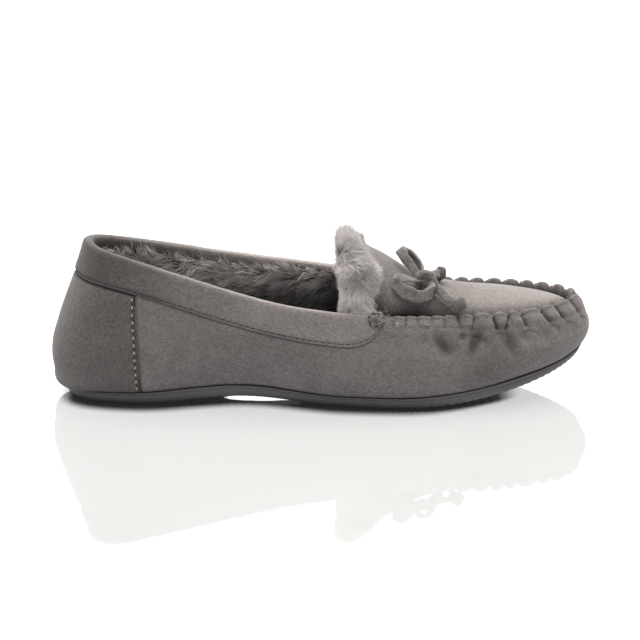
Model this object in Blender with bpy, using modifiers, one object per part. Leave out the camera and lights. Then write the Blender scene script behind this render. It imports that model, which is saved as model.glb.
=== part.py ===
"""A fleece-lined moccasin slipper for the right foot, one size, drawn piece by piece.

Frame: +X points at the toe, +Y at the medial side, +Z up. The sole rests on z = 0, and the
origin is the centre of the whole slipper's box, seen from above.

Most pieces are layers of one smooth wall. It runs round the foot in stations, 0 at the back
of the heel, then along the lateral side, 8 at the toe and back along the medial side. At
each station a rib rises from the feather edge, where the upper meets the sole, to the top
edge. A layer is the wall moved inward by its depth, with its own thickness.
"""

import math

import bmesh
import bpy
import numpy as np

MM = 0.001
GAP = 0.35 * MM  # between pieces that touch

# Stations, millimetres. Feather edge (x, y) on the sole, and top edge (x, y, z).
FEATHER_EDGE = (
    (-122.5, 1.0),
    (-115.5, -16.5),
    (-85.4, -26.2),
    (-40.0, -25.4),
    (0.0, -30.4),
    (45.0, -37.4),
    (85.0, -32.6),
    (112.5, -17.8),
    (125.3, 4.5),
    (117.5, 24.5),
    (88.0, 37.5),
    (50.0, 38.2),
    (5.0, 28.5),
    (-38.0, 22.5),
    (-82.0, 26.5),
    (-115.5, 19.0),
)
TOP_EDGE = (
    (-112.5, 1.5, 73.0),
    (-106.0, -14.0, 71.8),
    (-87.5, -22.0, 67.4),
    (-40.0, -29.0, 53.5),
    (0.0, -31.2, 45.3),
    (45.0, -28.2, 42.3),
    (84.0, -23.2, 42.0),
    (108.5, -12.6, 42.4),
    (122.3, 4.5, 43.3),
    (113.0, 20.0, 44.0),
    (87.0, 28.0, 44.6),
    (50.0, 30.0, 46.2),
    (5.0, 30.5, 52.3),
    (-38.0, 29.5, 58.3),
    (-82.0, 23.5, 66.7),
    (-106.0, 15.0, 71.6),
)
# How each rib leaves the feather edge and arrives at the top: (out, up, out, down).
RIB_HANDLES = (
    (14.0, 12.0, 8.5, 30.0),
    (11.0, 13.0, 7.0, 27.0),
    (6.0, 14.0, 4.0, 22.0),
    (5.0, 12.0, 2.5, 15.0),
    (5.0, 11.0, 4.0, 13.0),
    (4.5, 11.0, 10.0, 9.0),
    (4.5, 10.0, 10.0, 8.0),
    (5.0, 8.5, 9.0, 7.0),
    (5.0, 7.5, 6.5, 7.0),
    (5.0, 8.0, 9.0, 7.0),
    (4.5, 10.0, 9.0, 8.0),
    (4.5, 11.0, 8.0, 9.0),
    (5.0, 12.0, 3.0, 14.0),
    (6.0, 13.0, 1.5, 16.0),
    (6.0, 14.0, 4.0, 22.0),
    (11.0, 13.0, 7.0, 27.0),
)
STATIONS = len(FEATHER_EDGE)
TOE_STATION = 8

# Where the pieces of the upper end, in stations.
HEEL_SEAM_LATERAL = 2.0
HEEL_SEAM_MEDIAL = 14.0
CORNER_LATERAL = 4.62
CORNER_MEDIAL = 11.52
THROAT_LATERAL = 4.28
THROAT_MEDIAL = 11.86
COLUMNS_PER_STATION = 3
CORNER_COLUMNS = (-0.3, -0.18, -0.08, 0.0, 0.05)  # extra columns round each corner

# Sole
ARCH_START, ARCH_END, ARCH_RISE = -88.0 * MM, 10.0 * MM, 3.4 * MM
TOE_SPRING_START, TOE_SPRING_LENGTH, TOE_SPRING_RISE = 37.0 * MM, 88.0 * MM, 16.6 * MM
TOE_SPRING_POWER = 1.65
HEEL_ROLL_START, HEEL_ROLL_LENGTH, HEEL_ROLL_RISE = -108.0 * MM, 15.0 * MM, 1.2 * MM
SOLE_THICKNESS = (  # (x, thickness), millimetres
    (-123.0, 5.2),
    (-85.0, 6.5),
    (-40.0, 6.5),
    (0.0, 5.8),
    (40.0, 6.1),
    (65.0, 6.4),
    (90.0, 6.2),
    (110.0, 5.5),
    (125.0, 4.5),
)
SOLE_RINGS = ((5.0, 0.0), (1.9, 0.26), (0.3, 0.6), (-0.4, 1.0))  # (inset mm, share of height)

# Layers, from the outside in
WALL_SEAM_GAP = 0.017  # stations, and shares of a rib, left open between two wall pieces
LINING_SPLIT = 0.42  # stations from the collar's corners to the joint between the linings
SUEDE = 1.4 * MM
STIFFENER_DEPTH, STIFFENER = 1.9 * MM, 0.8 * MM
LINING_DEPTH, LINING = 3.2 * MM, 3.6 * MM
BOARD_LIFT, BOARD, BOARD_INSET = 0.35 * MM, 1.3 * MM, 2.3 * MM
FOAM_LIFT, FOAM, FOAM_INSET = 2.0 * MM, 2.9 * MM, 3.1 * MM
SOCK_LIFT, SOCK, SOCK_INSET = 5.3 * MM, 5.0 * MM, 8.0 * MM
LINING_FOOT = 5.6 * MM  # the linings start this high above the sole

# Collar
COLLAR_LEATHER = 1.2 * MM
COLLAR_DROP = 13.4 * MM  # seam below the top edge of the wall
COLLAR_DROP_END = 2.5 * MM
COLLAR_CURVE = 0.42  # stations over which the front end rounds off
RIM_RADIUS, RIM_RADIUS_END = 2.3 * MM, 1.8 * MM
RIM_TAPER = 0.9  # stations
COLLAR_INNER_LEG = 7.0 * MM
PADDING_DEPTH, PADDING = 1.95 * MM, 0.9 * MM
PADDING_DROP = 5.0 * MM
PADDING_SETBACK = 1.15  # stations behind the collar's front ends
STITCH_RADIUS = 0.35 * MM
TOPSTITCH_RISE = 1.6 * MM  # stitch row above the collar seam
HEEL_STITCH_SETBACK = 0.042  # stations behind the heel seam

# Apron
APRON_INSET, APRON_TUCK = 1.7 * MM, 4.2 * MM
APRON_CREST = (  # (x, z) along the middle, millimetres
    (10.0, 74.2),
    (20.0, 71.2),
    (30.0, 65.8),
    (40.0, 58.8),
    (50.0, 53.6),
    (65.0, 50.0),
    (90.0, 47.2),
    (121.0, 43.2),
)
APRON_ACROSS = 12
ARCH_POWER_THROAT, ARCH_POWER_TOE = 0.58, 0.85
CUFF = 3.0 * MM
CUFF_REACH_SIDE, CUFF_REACH_TOP, CUFF_REACH_INSIDE = 0.3, 0.18, 0.14  # stations
CUFF_CLEARANCE = 0.6 * MM
APRON_LINING_START, APRON_LINING_END = 4 + 2 / 3, 7 + 1 / 3  # stations
APRON_LINING_DEPTH = 2.0 * MM
APRON_LINING = 3.0 * MM
MOC_THREAD_RADIUS = 0.45 * MM

# Bow, millimetres. Lace routes are (x, y, lift above the apron).
LACE_RADIUS = 1.35 * MM
KNOT = (49.8, -9.3, 4.7)
KNOT_SIZE = (4.6, 4.2, 3.3)
LOOP_LATERAL = (
    (45.4, -13.2, 3.6),
    (40.6, -16.0, 3.5),
    (36.2, -19.8, 2.9),
    (37.6, -23.2, 2.5),
    (43.0, -23.8, 2.4),
    (49.0, -22.3, 2.5),
    (52.2, -18.6, 3.0),
    (51.6, -14.6, 3.4),
)
LOOP_MEDIAL = (
    (46.2, -5.2, 4.2),
    (42.6, -1.6, 5.4),
    (38.6, 1.6, 6.8),
    (36.6, 5.0, 7.6),
    (39.6, 7.0, 8.2),
    (44.0, 4.6, 7.6),
    (46.6, 0.4, 5.8),
    (48.4, -3.8, 4.4),
)
TAIL_LATERAL = (
    (54.6, -13.0, 3.4),
    (57.2, -16.8, 2.6),
    (59.6, -19.6, 2.8),
)
TAIL_KNOT_LATERAL = (64.6, -23.4, 4.4)
TAIL_KNOT_LATERAL_SIZE = (4.2, 3.0, 2.7)
TAIL_MEDIAL = (
    (53.4, -4.8, 3.2),
    (54.4, -1.6, 2.4),
    (55.6, 1.4, 2.3),
)
TAIL_KNOT_MEDIAL = (57.4, 5.0, 3.4)
TAIL_KNOT_MEDIAL_SIZE = (2.8, 2.6, 2.6)
TACK_SIZE = (3.0, 1.6, 2.6)
TACK_DEPTH = -2.4 * MM

COLOURS = {  # base colour, roughness
    "suede": ((0.158, 0.141, 0.138), 0.95),
    "suede_heel": ((0.105, 0.091, 0.088), 0.95),
    "fleece": ((0.205, 0.180, 0.168), 1.0),
    "rubber": ((0.075, 0.070, 0.068), 0.7),
    "thread": ((0.120, 0.108, 0.104), 0.8),
    "board": ((0.420, 0.330, 0.230), 0.9),
    "foam": ((0.700, 0.680, 0.620), 1.0),
    "stiffener": ((0.500, 0.480, 0.440), 0.8),
}


class ClosedSpline:
    """A smooth closed curve with one point at each station."""

    def __init__(self, points):
        self.points = np.array(points, float) * MM
        count = len(self.points)
        shift = np.roll(np.eye(count), 1, axis=1)
        after = np.roll(self.points, -1, axis=0)
        before = np.roll(self.points, 1, axis=0)
        matrix = 4 * np.eye(count) + shift + shift.T
        self.bends = np.linalg.solve(matrix, 6 * (after - 2 * self.points + before))

    def __call__(self, station):
        station = np.asarray(station, float)
        here = np.floor(station).astype(int) % len(self.points)
        after = (here + 1) % len(self.points)
        share = (station - np.floor(station))[..., None]
        rest = 1 - share
        straight = rest * self.points[here] + share * self.points[after]
        bent = (rest**3 - rest) * self.bends[here] + (share**3 - share) * self.bends[after]
        return straight + bent / 6


class OpenSpline:
    """A smooth height over x through (x, height) points, straight at both ends."""

    def __init__(self, points):
        self.x, self.y = np.array(points, float).T * MM
        step = np.diff(self.x)
        slope = np.diff(self.y) / step
        count = len(self.x)
        matrix = np.eye(count)
        right = np.zeros(count)
        for i in range(1, count - 1):
            matrix[i, i - 1 : i + 2] = step[i - 1], 2 * (step[i - 1] + step[i]), step[i]
            right[i] = 6 * (slope[i] - slope[i - 1])
        self.bends = np.linalg.solve(matrix, right)

    def __call__(self, x):
        x = np.clip(x, self.x[0], self.x[-1])
        i = np.clip(np.searchsorted(self.x, x) - 1, 0, len(self.x) - 2)
        step = self.x[i + 1] - self.x[i]
        share = (x - self.x[i]) / step
        rest = 1 - share
        straight = rest * self.y[i] + share * self.y[i + 1]
        bent = (rest**3 - rest) * self.bends[i] + (share**3 - share) * self.bends[i + 1]
        return straight + bent * step**2 / 6


feather_edge = ClosedSpline(FEATHER_EDGE)
top_edge = ClosedSpline(TOP_EDGE)
rib_handles = ClosedSpline(RIB_HANDLES)
sole_thickness = OpenSpline(SOLE_THICKNESS)
apron_crest = OpenSpline(APRON_CREST)


def unit(vectors):
    return vectors / np.linalg.norm(vectors, axis=-1, keepdims=True)


def smooth_step(value):
    value = np.clip(value, 0.0, 1.0)
    return value * value * (3 - 2 * value)


def tread(x):
    """Height of the sole's underside: flat at heel and ball, arched between, sprung at the toe."""
    arch = np.clip((x - ARCH_START) / (ARCH_END - ARCH_START), 0, 1)
    spring = np.clip((x - TOE_SPRING_START) / TOE_SPRING_LENGTH, 0, None)
    roll = np.clip((HEEL_ROLL_START - x) / HEEL_ROLL_LENGTH, 0, None)
    return (
        ARCH_RISE * np.sin(math.pi * arch) ** 2
        + TOE_SPRING_RISE * spring**TOE_SPRING_POWER
        + HEEL_ROLL_RISE * roll**2
    )


def sole_top(x):
    return tread(x) + sole_thickness(x)


def plan_outward(curve, station):
    """Unit vector pointing away from the foot, level, square to a closed curve."""
    step = 0.01
    along = curve(station + step) - curve(station - step)
    return unit(np.stack([along[..., 1], -along[..., 0], np.zeros_like(along[..., 0])], axis=-1))


def rib(station, share):
    """Point on the wall's outer face, share 0 at the feather edge and 1 at the top edge."""
    station, share = np.broadcast_arrays(np.asarray(station, float), np.asarray(share, float))
    foot = feather_edge(station)
    foot = np.concatenate([foot, (sole_top(foot[..., 0]) + GAP)[..., None]], axis=-1)
    top = top_edge(station)
    handles = rib_handles(station)
    outward = plan_outward(feather_edge, station)
    up = np.array([0.0, 0.0, 1.0])
    low = foot + outward * handles[..., 0:1] + up * handles[..., 1:2]
    high = top + outward * handles[..., 2:3] - up * handles[..., 3:4]
    share = share[..., None]
    rest = 1 - share
    return rest**3 * foot + 3 * rest**2 * share * low + 3 * rest * share**2 * high + share**3 * top


def wall_frame(station, share):
    """Wall point, with unit vectors up along the rib and inward."""
    step = 0.004
    point = rib(station, share)
    along = rib(station + step, share) - rib(station - step, share)
    rise = unit(rib(station, share + step) - rib(station, share - step))
    inward = -unit(np.cross(along, rise))
    return point, rise, inward


def wall(station, share, depth):
    point, _, inward = wall_frame(station, share)
    return point + inward * depth


def share_at_height(station, height):
    """Where a rib reaches a height above the floor."""
    low = np.zeros_like(station)
    high = np.ones_like(station)
    for _ in range(30):
        middle = (low + high) / 2
        below = rib(station, middle)[..., 2] < height
        low = np.where(below, middle, low)
        high = np.where(below, high, middle)
    return (low + high) / 2


def columns(start, end):
    """Stations that a piece uses, shared by all pieces so that their facets line up."""
    marks = [i / COLUMNS_PER_STATION for i in range(-3 * STATIONS, 6 * STATIONS)]
    for offset in CORNER_COLUMNS:
        lateral = CORNER_LATERAL + offset
        medial = CORNER_MEDIAL - offset
        marks += [lateral, lateral - STATIONS, medial, medial - STATIONS]
    close = 0.04
    chosen = [start]
    for mark in sorted(marks):
        if chosen[-1] + close < mark < end - close:
            chosen.append(mark)
    return np.array(chosen + [end])


def from_corner(station):
    """Stations between here and the nearer front end of the collar, 0 beyond it."""
    station = np.where(station > TOE_STATION, station - STATIONS, station)
    lateral = CORNER_LATERAL - station
    medial = station - (CORNER_MEDIAL - STATIONS)
    return np.clip(np.minimum(lateral, medial), 0, None)


def collar_seam(station):
    """Share of the rib at which the wall meets the collar."""
    rounded = np.sqrt(np.clip(1 - (1 - from_corner(station) / COLLAR_CURVE).clip(0, 1) ** 2, 0, 1))
    drop = COLLAR_DROP_END + (COLLAR_DROP - COLLAR_DROP_END) * rounded
    return share_at_height(station, top_edge(station)[..., 2] - drop)


def rim_radius(station):
    return RIM_RADIUS_END + (RIM_RADIUS - RIM_RADIUS_END) * smooth_step(from_corner(station) / RIM_TAPER)


def apron_row(station, inset):
    """The pair of apron edge points at one lateral station, moved in by inset."""
    reach = (TOE_STATION - station) / (TOE_STATION - THROAT_LATERAL)
    other = TOE_STATION + reach * (THROAT_MEDIAL - TOE_STATION)
    ends = []
    for at, corner in ((station, CORNER_LATERAL), (other, CORNER_MEDIAL)):
        tuck = smooth_step((abs(TOE_STATION - at) - abs(TOE_STATION - corner) + 0.12) / 0.2)
        move = inset + APRON_TUCK * tuck
        ends.append(top_edge(at) - plan_outward(top_edge, at) * move)
    return ends[0], ends[1], reach


def apron_point(station, across, inset=APRON_INSET):
    """Point on the apron's outer face, across from -1 at the lateral edge to 1."""
    lateral, medial, reach = apron_row(station, inset)
    share = (across + 1) / 2
    point = lateral * (1 - share) + medial * share
    power = ARCH_POWER_TOE + (ARCH_POWER_THROAT - ARCH_POWER_TOE) * reach**2
    crown = apron_crest(point[0]) - (lateral[2] + medial[2]) / 2
    point[2] += max(crown, 0) * max(1 - across * across, 0) ** power
    return point


def apron_frame(station, across, inset=APRON_INSET):
    """Apron point, with unit vectors towards the toe, towards the medial side and outward."""
    step = 0.01
    point = apron_point(station, across, inset)
    forward = apron_point(station + step, across, inset) - apron_point(station, across, inset)
    side = apron_point(station, min(across + step, 1), inset) - apron_point(
        station, max(across - step, -1), inset
    )
    outward = unit(np.cross(forward, side))
    return point, unit(forward), unit(side), outward


def on_apron(x, y, lift):
    """World point, metres, above the apron at a plan position in millimetres."""
    low, high = THROAT_LATERAL, TOE_STATION - 0.05
    for _ in range(30):
        middle = (low + high) / 2
        lateral, medial, _ = apron_row(middle, APRON_INSET)
        share = (y * MM - lateral[1]) / (medial[1] - lateral[1])
        if lateral[0] * (1 - share) + medial[0] * share < x * MM:
            low = middle
        else:
            high = middle
    across = np.clip(2 * share - 1, -1, 1)
    return np.array([x * MM, y * MM, apron_point(low, across)[2] + lift * MM])


def make_material(name, colour, roughness):
    material = bpy.data.materials.new(name)
    material.use_nodes = True
    shader = material.node_tree.nodes["Principled BSDF"]
    shader.inputs["Base Color"].default_value = (*colour, 1.0)
    shader.inputs["Roughness"].default_value = roughness
    material.diffuse_color = (*colour, 1.0)
    return material


def add_object(name, data, finish):
    piece = bpy.data.objects.new(name, data)
    colour, roughness = COLOURS[finish]
    data.materials.append(make_material(name, colour, roughness))
    bpy.data.collections["fluffy_house_slipper"].objects.link(piece)
    return piece


def grid_object(name, rows, finish, thickness=None):
    """An object whose mesh is a sheet of quads through rows of points, made solid inward."""
    mesh = bpy.data.meshes.new(name)
    build = bmesh.new()
    lines = [[build.verts.new(point) for point in row] for row in rows]
    pairs = list(zip(lines, lines[1:]))
    for here, after in pairs:
        for j in range(len(here) - 1):
            build.faces.new((here[j], after[j], after[j + 1], here[j + 1]))
    bmesh.ops.remove_doubles(build, verts=build.verts, dist=0.00002)
    build.to_mesh(mesh)
    build.free()
    mesh.shade_smooth()
    piece = add_object(name, mesh, finish)
    if thickness:
        solid = piece.modifiers.new("Thickness", "SOLIDIFY")
        solid.thickness = thickness
        solid.offset = -1
    return piece


def wall_layer(name, stations, low, high, rows, depth, thickness, finish):
    """A layer of the wall between two shares of its ribs."""
    steps = np.linspace(0, 1, rows + 1)
    shares = low[:, None] * (1 - steps) + high[:, None] * steps
    points = wall(np.broadcast_to(stations[:, None], shares.shape), shares, depth)
    return grid_object(name, points, finish, thickness)


def floor_sheet(name, inset, lift, thickness, finish):
    """A flat layer inside the slipper that follows the sole, its top at lift + thickness."""
    rows = []
    for station in np.arange(TOE_STATION * COLUMNS_PER_STATION + 1) / COLUMNS_PER_STATION:
        pair = []
        for at in (station, STATIONS - station):
            edge = np.append(feather_edge(at), 0.0)
            pair.append(edge - plan_outward(feather_edge, at) * inset)
        line = [pair[0] * (1 - share) + pair[1] * share for share in np.linspace(0, 1, 5)]
        for point in line:
            slope = (sole_top(point[0] + MM) - sole_top(point[0] - MM)) / (2 * MM)
            point[2] = sole_top(point[0]) + (lift + thickness) * math.hypot(1, slope)
        rows.append(line)
    return grid_object(name, rows, finish, thickness)


def outsole():
    """Moulded sole: rings round the edge between a lower and an upper sheet."""
    half = TOE_STATION * COLUMNS_PER_STATION
    stations = np.arange(2 * half) / COLUMNS_PER_STATION
    build = bmesh.new()
    rings = []
    for inset, share in SOLE_RINGS:
        ring = []
        for station in stations:
            edge = np.append(feather_edge(station), 0.0)
            point = edge - plan_outward(feather_edge, station) * inset * MM
            point[2] = tread(point[0]) + share * sole_thickness(point[0])
            ring.append(build.verts.new(point))
        rings.append(ring)
    for low, high in zip(rings, rings[1:]):
        for i in range(len(stations)):
            after = (i + 1) % len(stations)
            build.faces.new((low[i], low[after], high[after], high[i]))
    for ring, height, up in ((rings[0], tread, False), (rings[-1], sole_top, True)):
        lines = [[ring[0]]]
        for i in range(1, half):
            lateral, medial = ring[i], ring[-i]
            line = [lateral]
            for share in (0.2, 0.5, 0.8):
                point = lateral.co.lerp(medial.co, share)
                point.z = height(point.x)
                line.append(build.verts.new(point))
            lines.append(line + [medial])
        lines.append([ring[half]])
        for here, after in zip(lines, lines[1:]):
            for j in range(4):
                corners = []
                for line, index in ((here, j), (after, j), (after, j + 1), (here, j + 1)):
                    vert = line[min(index, len(line) - 1)]
                    if vert not in corners:
                        corners.append(vert)
                if not up:
                    corners.reverse()
                build.faces.new(corners)
    mesh = bpy.data.meshes.new("outsole")
    build.to_mesh(mesh)
    build.free()
    mesh.shade_smooth()
    mesh.set_sharp_from_angle(angle=math.radians(35))
    return add_object("outsole", mesh, "rubber")


def upper():
    """The suede pieces of the wall, with the stiffener and the linings behind them."""
    stations = columns(HEEL_SEAM_LATERAL, HEEL_SEAM_MEDIAL)
    on_moc_seam = (stations > CORNER_LATERAL) & (stations < CORNER_MEDIAL)
    top = np.where(on_moc_seam, 1.0, collar_seam(stations) - WALL_SEAM_GAP)
    wall_layer("side_wall", stations, np.zeros_like(stations), top, 7, 0, SUEDE, "suede")

    stations = columns(HEEL_SEAM_MEDIAL + WALL_SEAM_GAP - STATIONS, HEEL_SEAM_LATERAL - WALL_SEAM_GAP)
    top = collar_seam(stations) - WALL_SEAM_GAP
    wall_layer("heel_panel", stations, np.zeros_like(stations), top, 6, 0, SUEDE, "suede_heel")

    stations = columns(-2.4, 2.4)
    foot = share_at_height(stations, sole_top(feather_edge(stations)[..., 0]) + LINING_FOOT)
    top = collar_seam(stations) - 0.08
    wall_layer(
        "heel_stiffener", stations, foot, top, 4, STIFFENER_DEPTH, STIFFENER, "stiffener"
    )

    stations = columns(CORNER_MEDIAL + LINING_SPLIT - STATIONS, CORNER_LATERAL - LINING_SPLIT)
    foot = share_at_height(stations, sole_top(feather_edge(stations)[..., 0]) + LINING_FOOT)
    top = share_at_height(stations, top_edge(stations)[..., 2] - COLLAR_INNER_LEG - 1.6 * MM)
    wall_layer("quarter_lining", stations, foot, top, 5, LINING_DEPTH, LINING, "fleece")

    stations = columns(CORNER_LATERAL - LINING_SPLIT + WALL_SEAM_GAP, CORNER_MEDIAL + LINING_SPLIT - WALL_SEAM_GAP)
    foot = share_at_height(stations, sole_top(feather_edge(stations)[..., 0]) + LINING_FOOT)
    top = np.full_like(stations, 0.74)
    wall_layer("vamp_lining", stations, foot, top, 4, LINING_DEPTH, LINING, "fleece")


def collar():
    """The folded band round the opening, and the padding inside the fold."""
    stations = columns(CORNER_MEDIAL - STATIONS, CORNER_LATERAL)
    rows = []
    for station in stations:
        seam = float(collar_seam(np.array(station)))
        line = [wall(station, share, 0.0) for share in np.linspace(seam, 1, 4)]
        point, rise, inward = wall_frame(station, 1.0)
        radius = float(rim_radius(np.array(station)))
        centre = point + inward * radius
        for angle in np.radians((36, 72, 108, 144, 180)):
            line.append(centre + radius * (rise * math.sin(angle) - inward * math.cos(angle)))
        leg = COLLAR_INNER_LEG * min(1, 0.35 + float(from_corner(np.array(station))) * 2)
        line.append(centre + inward * radius - rise * leg / 2)
        line.append(centre + inward * radius - rise * leg)
        rows.append(line)
    grid_object("collar_band", rows, "suede", COLLAR_LEATHER)

    stations = columns(
        CORNER_MEDIAL + PADDING_SETBACK - STATIONS, CORNER_LATERAL - PADDING_SETBACK
    )
    low = share_at_height(stations, top_edge(stations)[..., 2] - PADDING_DROP)
    wall_layer(
        "collar_padding", stations, low, np.ones_like(stations), 2, PADDING_DEPTH, PADDING, "foam"
    )


def apron_stations(start):
    return np.append(columns(start, TOE_STATION)[:-1], [TOE_STATION - 0.08, TOE_STATION])


def apron():
    """The tongue-shaped top panel, its lining and the fleece cuff over its back edge."""
    across = np.sin(np.linspace(-math.pi / 2, math.pi / 2, APRON_ACROSS + 1))
    rows = [[apron_point(at, v) for v in across] for at in apron_stations(THROAT_LATERAL)]
    grid_object("apron", rows, "suede", SUEDE)

    rows = []
    for at in columns(APRON_LINING_START, APRON_LINING_END):
        frames = [apron_frame(at, v) for v in across[3:-3]]
        rows.append([point - outward * APRON_LINING_DEPTH for point, _, _, outward in frames])
    grid_object("apron_lining", rows, "fleece", APRON_LINING)

    rows = []
    radius = SUEDE / 2 + CUFF_CLEARANCE
    for v in across[1:-1]:
        point, forward, _, outward = apron_frame(THROAT_LATERAL, v)
        core = point - outward * SUEDE / 2
        reach = CUFF_REACH_SIDE + (CUFF_REACH_TOP - CUFF_REACH_SIDE) * (1 - v * v)
        line = []
        for station in (THROAT_LATERAL + reach, THROAT_LATERAL + reach / 2, THROAT_LATERAL):
            spot, _, _, normal = apron_frame(station, v)
            line.append(spot + normal * CUFF_CLEARANCE)
        for angle in np.radians((60, 120)):
            line.append(core + radius * (outward * math.cos(angle) - forward * math.sin(angle)))
        for station in (THROAT_LATERAL, THROAT_LATERAL + CUFF_REACH_INSIDE):
            spot, _, _, normal = apron_frame(station, v)
            line.append(spot - normal * (SUEDE + CUFF_CLEARANCE))
        rows.append(line)
    cuff = grid_object("apron_cuff", rows, "fleece", CUFF)
    cuff.modifiers["Thickness"].offset = 1


def tube(name, points, radius, finish, resolution=0):
    """A tube through points, with closed ends."""
    curve = bpy.data.curves.new(name, "CURVE")
    curve.dimensions = "3D"
    curve.bevel_depth = radius
    curve.bevel_resolution = resolution
    curve.use_fill_caps = True
    spline = curve.splines.new("POLY")
    spline.points.add(len(points) - 1)
    for slot, point in zip(spline.points, points):
        slot.co = (*point, 1.0)
    return add_object(name, curve, finish)


def smooth_route(points, step=3.0 * MM):
    """Points close together on a smooth curve through a route's own points."""
    points = [np.array(point, float) for point in points]
    ends = [2 * points[0] - points[1]] + points + [2 * points[-1] - points[-2]]
    route = [points[0]]
    for a, b, c, d in zip(ends, ends[1:], ends[2:], ends[3:]):
        pieces = max(1, round(float(np.linalg.norm(c - b)) / step))
        for i in range(1, pieces + 1):
            t = i / pieces
            route.append(
                0.5
                * (2 * b + (c - a) * t + (2 * a - 5 * b + 4 * c - d) * t**2
                   + (3 * b - a - 3 * c + d) * t**3)
            )
    return route


def stitching():
    """Rows of sewing thread, each lying just off the suede."""
    outside = -(STITCH_RADIUS + GAP)
    stations = columns(CORNER_MEDIAL + 0.1 - STATIONS, CORNER_LATERAL - 0.1)
    shares = collar_seam(stations)
    rise = share_at_height(stations, rib(stations, shares)[..., 2] + TOPSTITCH_RISE)
    points = wall(stations, rise, outside - 0.15 * MM)
    tube("collar_stitching", points, STITCH_RADIUS, "thread")

    lateral = HEEL_SEAM_LATERAL - HEEL_STITCH_SETBACK
    medial = HEEL_SEAM_MEDIAL + HEEL_STITCH_SETBACK
    for name, station in (("lateral", lateral), ("medial", medial)):
        top = float(collar_seam(np.array(station))) - 0.02
        shares = np.linspace(0.03, top, 12)
        points = wall(np.full_like(shares, station), shares, outside - 0.1 * MM)
        tube(f"heel_stitching_{name}", points, STITCH_RADIUS, "thread")

    stations = columns(CORNER_LATERAL + 0.12, CORNER_MEDIAL - 0.12)
    inward = -plan_outward(top_edge, stations)
    up = np.array([0.0, 0.0, 1.0])
    points = top_edge(stations) + inward * 0.85 * MM + up * 1.05 * MM
    tube("moc_seam_thread", points, MOC_THREAD_RADIUS, "thread")


def ball(name, centre, size, finish, along=None):
    """A rounded knot: a sphere drawn out to three half sizes, millimetres."""
    mesh = bpy.data.meshes.new(name)
    build = bmesh.new()
    bmesh.ops.create_uvsphere(build, u_segments=12, v_segments=8, radius=MM)
    bmesh.ops.scale(build, vec=size, verts=build.verts)
    build.to_mesh(mesh)
    build.free()
    mesh.shade_smooth()
    piece = add_object(name, mesh, finish)
    piece.location = centre
    if along is not None:
        piece.rotation_euler.z = math.atan2(along[1], along[0])
    return piece


def bow():
    """The suede lace tied in a bow on the apron, with a knot at the end of each tail."""
    ball("bow_knot", on_apron(*KNOT), KNOT_SIZE, "suede")
    for side, loop, tail, knot, size in (
        ("lateral", LOOP_LATERAL, TAIL_LATERAL, TAIL_KNOT_LATERAL, TAIL_KNOT_LATERAL_SIZE),
        ("medial", LOOP_MEDIAL, TAIL_MEDIAL, TAIL_KNOT_MEDIAL, TAIL_KNOT_MEDIAL_SIZE),
    ):
        points = smooth_route([on_apron(*point) for point in loop])
        tube(f"lace_loop_{side}", points, LACE_RADIUS, "suede", 2)
        points = smooth_route([on_apron(*point) for point in tail])
        tube(f"lace_tail_{side}", points, LACE_RADIUS, "suede", 2)
        heading = np.array(knot[:2]) - np.array(tail[-1][:2])
        ball(f"tail_knot_{side}", on_apron(*knot), size, "suede", heading)


def corner_tacks():
    """The gathered tack that pins each front end of the collar to the wall and apron."""
    for side, station in (("lateral", CORNER_LATERAL), ("medial", CORNER_MEDIAL)):
        point, rise, inward = wall_frame(station, 0.97)
        centre = point + inward * TACK_DEPTH + rise * 1.5 * MM
        ball(f"corner_tack_{side}", centre, TACK_SIZE, "suede")


def main():
    for piece in list(bpy.data.objects):
        bpy.data.objects.remove(piece, do_unlink=True)
    collection = bpy.data.collections.new("fluffy_house_slipper")
    bpy.context.scene.collection.children.link(collection)

    outsole()
    floor_sheet("insole_board", BOARD_INSET, BOARD_LIFT, BOARD, "board")
    floor_sheet("footbed_foam", FOAM_INSET, FOAM_LIFT, FOAM, "foam")
    floor_sheet("insole_sock", SOCK_INSET, SOCK_LIFT, SOCK, "fleece")
    upper()
    collar()
    apron()
    stitching()
    bow()
    corner_tacks()


main()
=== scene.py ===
import math

import bpy
import numpy as np
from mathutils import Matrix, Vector, kdtree

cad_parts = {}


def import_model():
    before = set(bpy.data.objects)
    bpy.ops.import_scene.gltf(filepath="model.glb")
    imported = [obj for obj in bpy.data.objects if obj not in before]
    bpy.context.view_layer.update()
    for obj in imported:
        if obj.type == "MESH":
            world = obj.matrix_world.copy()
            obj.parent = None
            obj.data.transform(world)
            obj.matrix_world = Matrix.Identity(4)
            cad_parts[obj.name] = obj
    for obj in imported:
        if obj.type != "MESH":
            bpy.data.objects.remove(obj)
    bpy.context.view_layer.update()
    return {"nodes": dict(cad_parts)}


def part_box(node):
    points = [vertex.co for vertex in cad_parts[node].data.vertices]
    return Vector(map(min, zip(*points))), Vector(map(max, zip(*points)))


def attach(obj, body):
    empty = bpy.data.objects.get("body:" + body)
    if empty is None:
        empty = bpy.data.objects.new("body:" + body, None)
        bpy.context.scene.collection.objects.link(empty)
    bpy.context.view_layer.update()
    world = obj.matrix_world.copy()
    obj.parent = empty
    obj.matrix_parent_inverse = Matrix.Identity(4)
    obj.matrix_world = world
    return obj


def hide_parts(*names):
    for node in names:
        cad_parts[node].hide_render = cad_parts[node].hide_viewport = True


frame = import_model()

MM = 0.001
UP = np.array([0.0, 0.0, 1.0])

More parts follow.
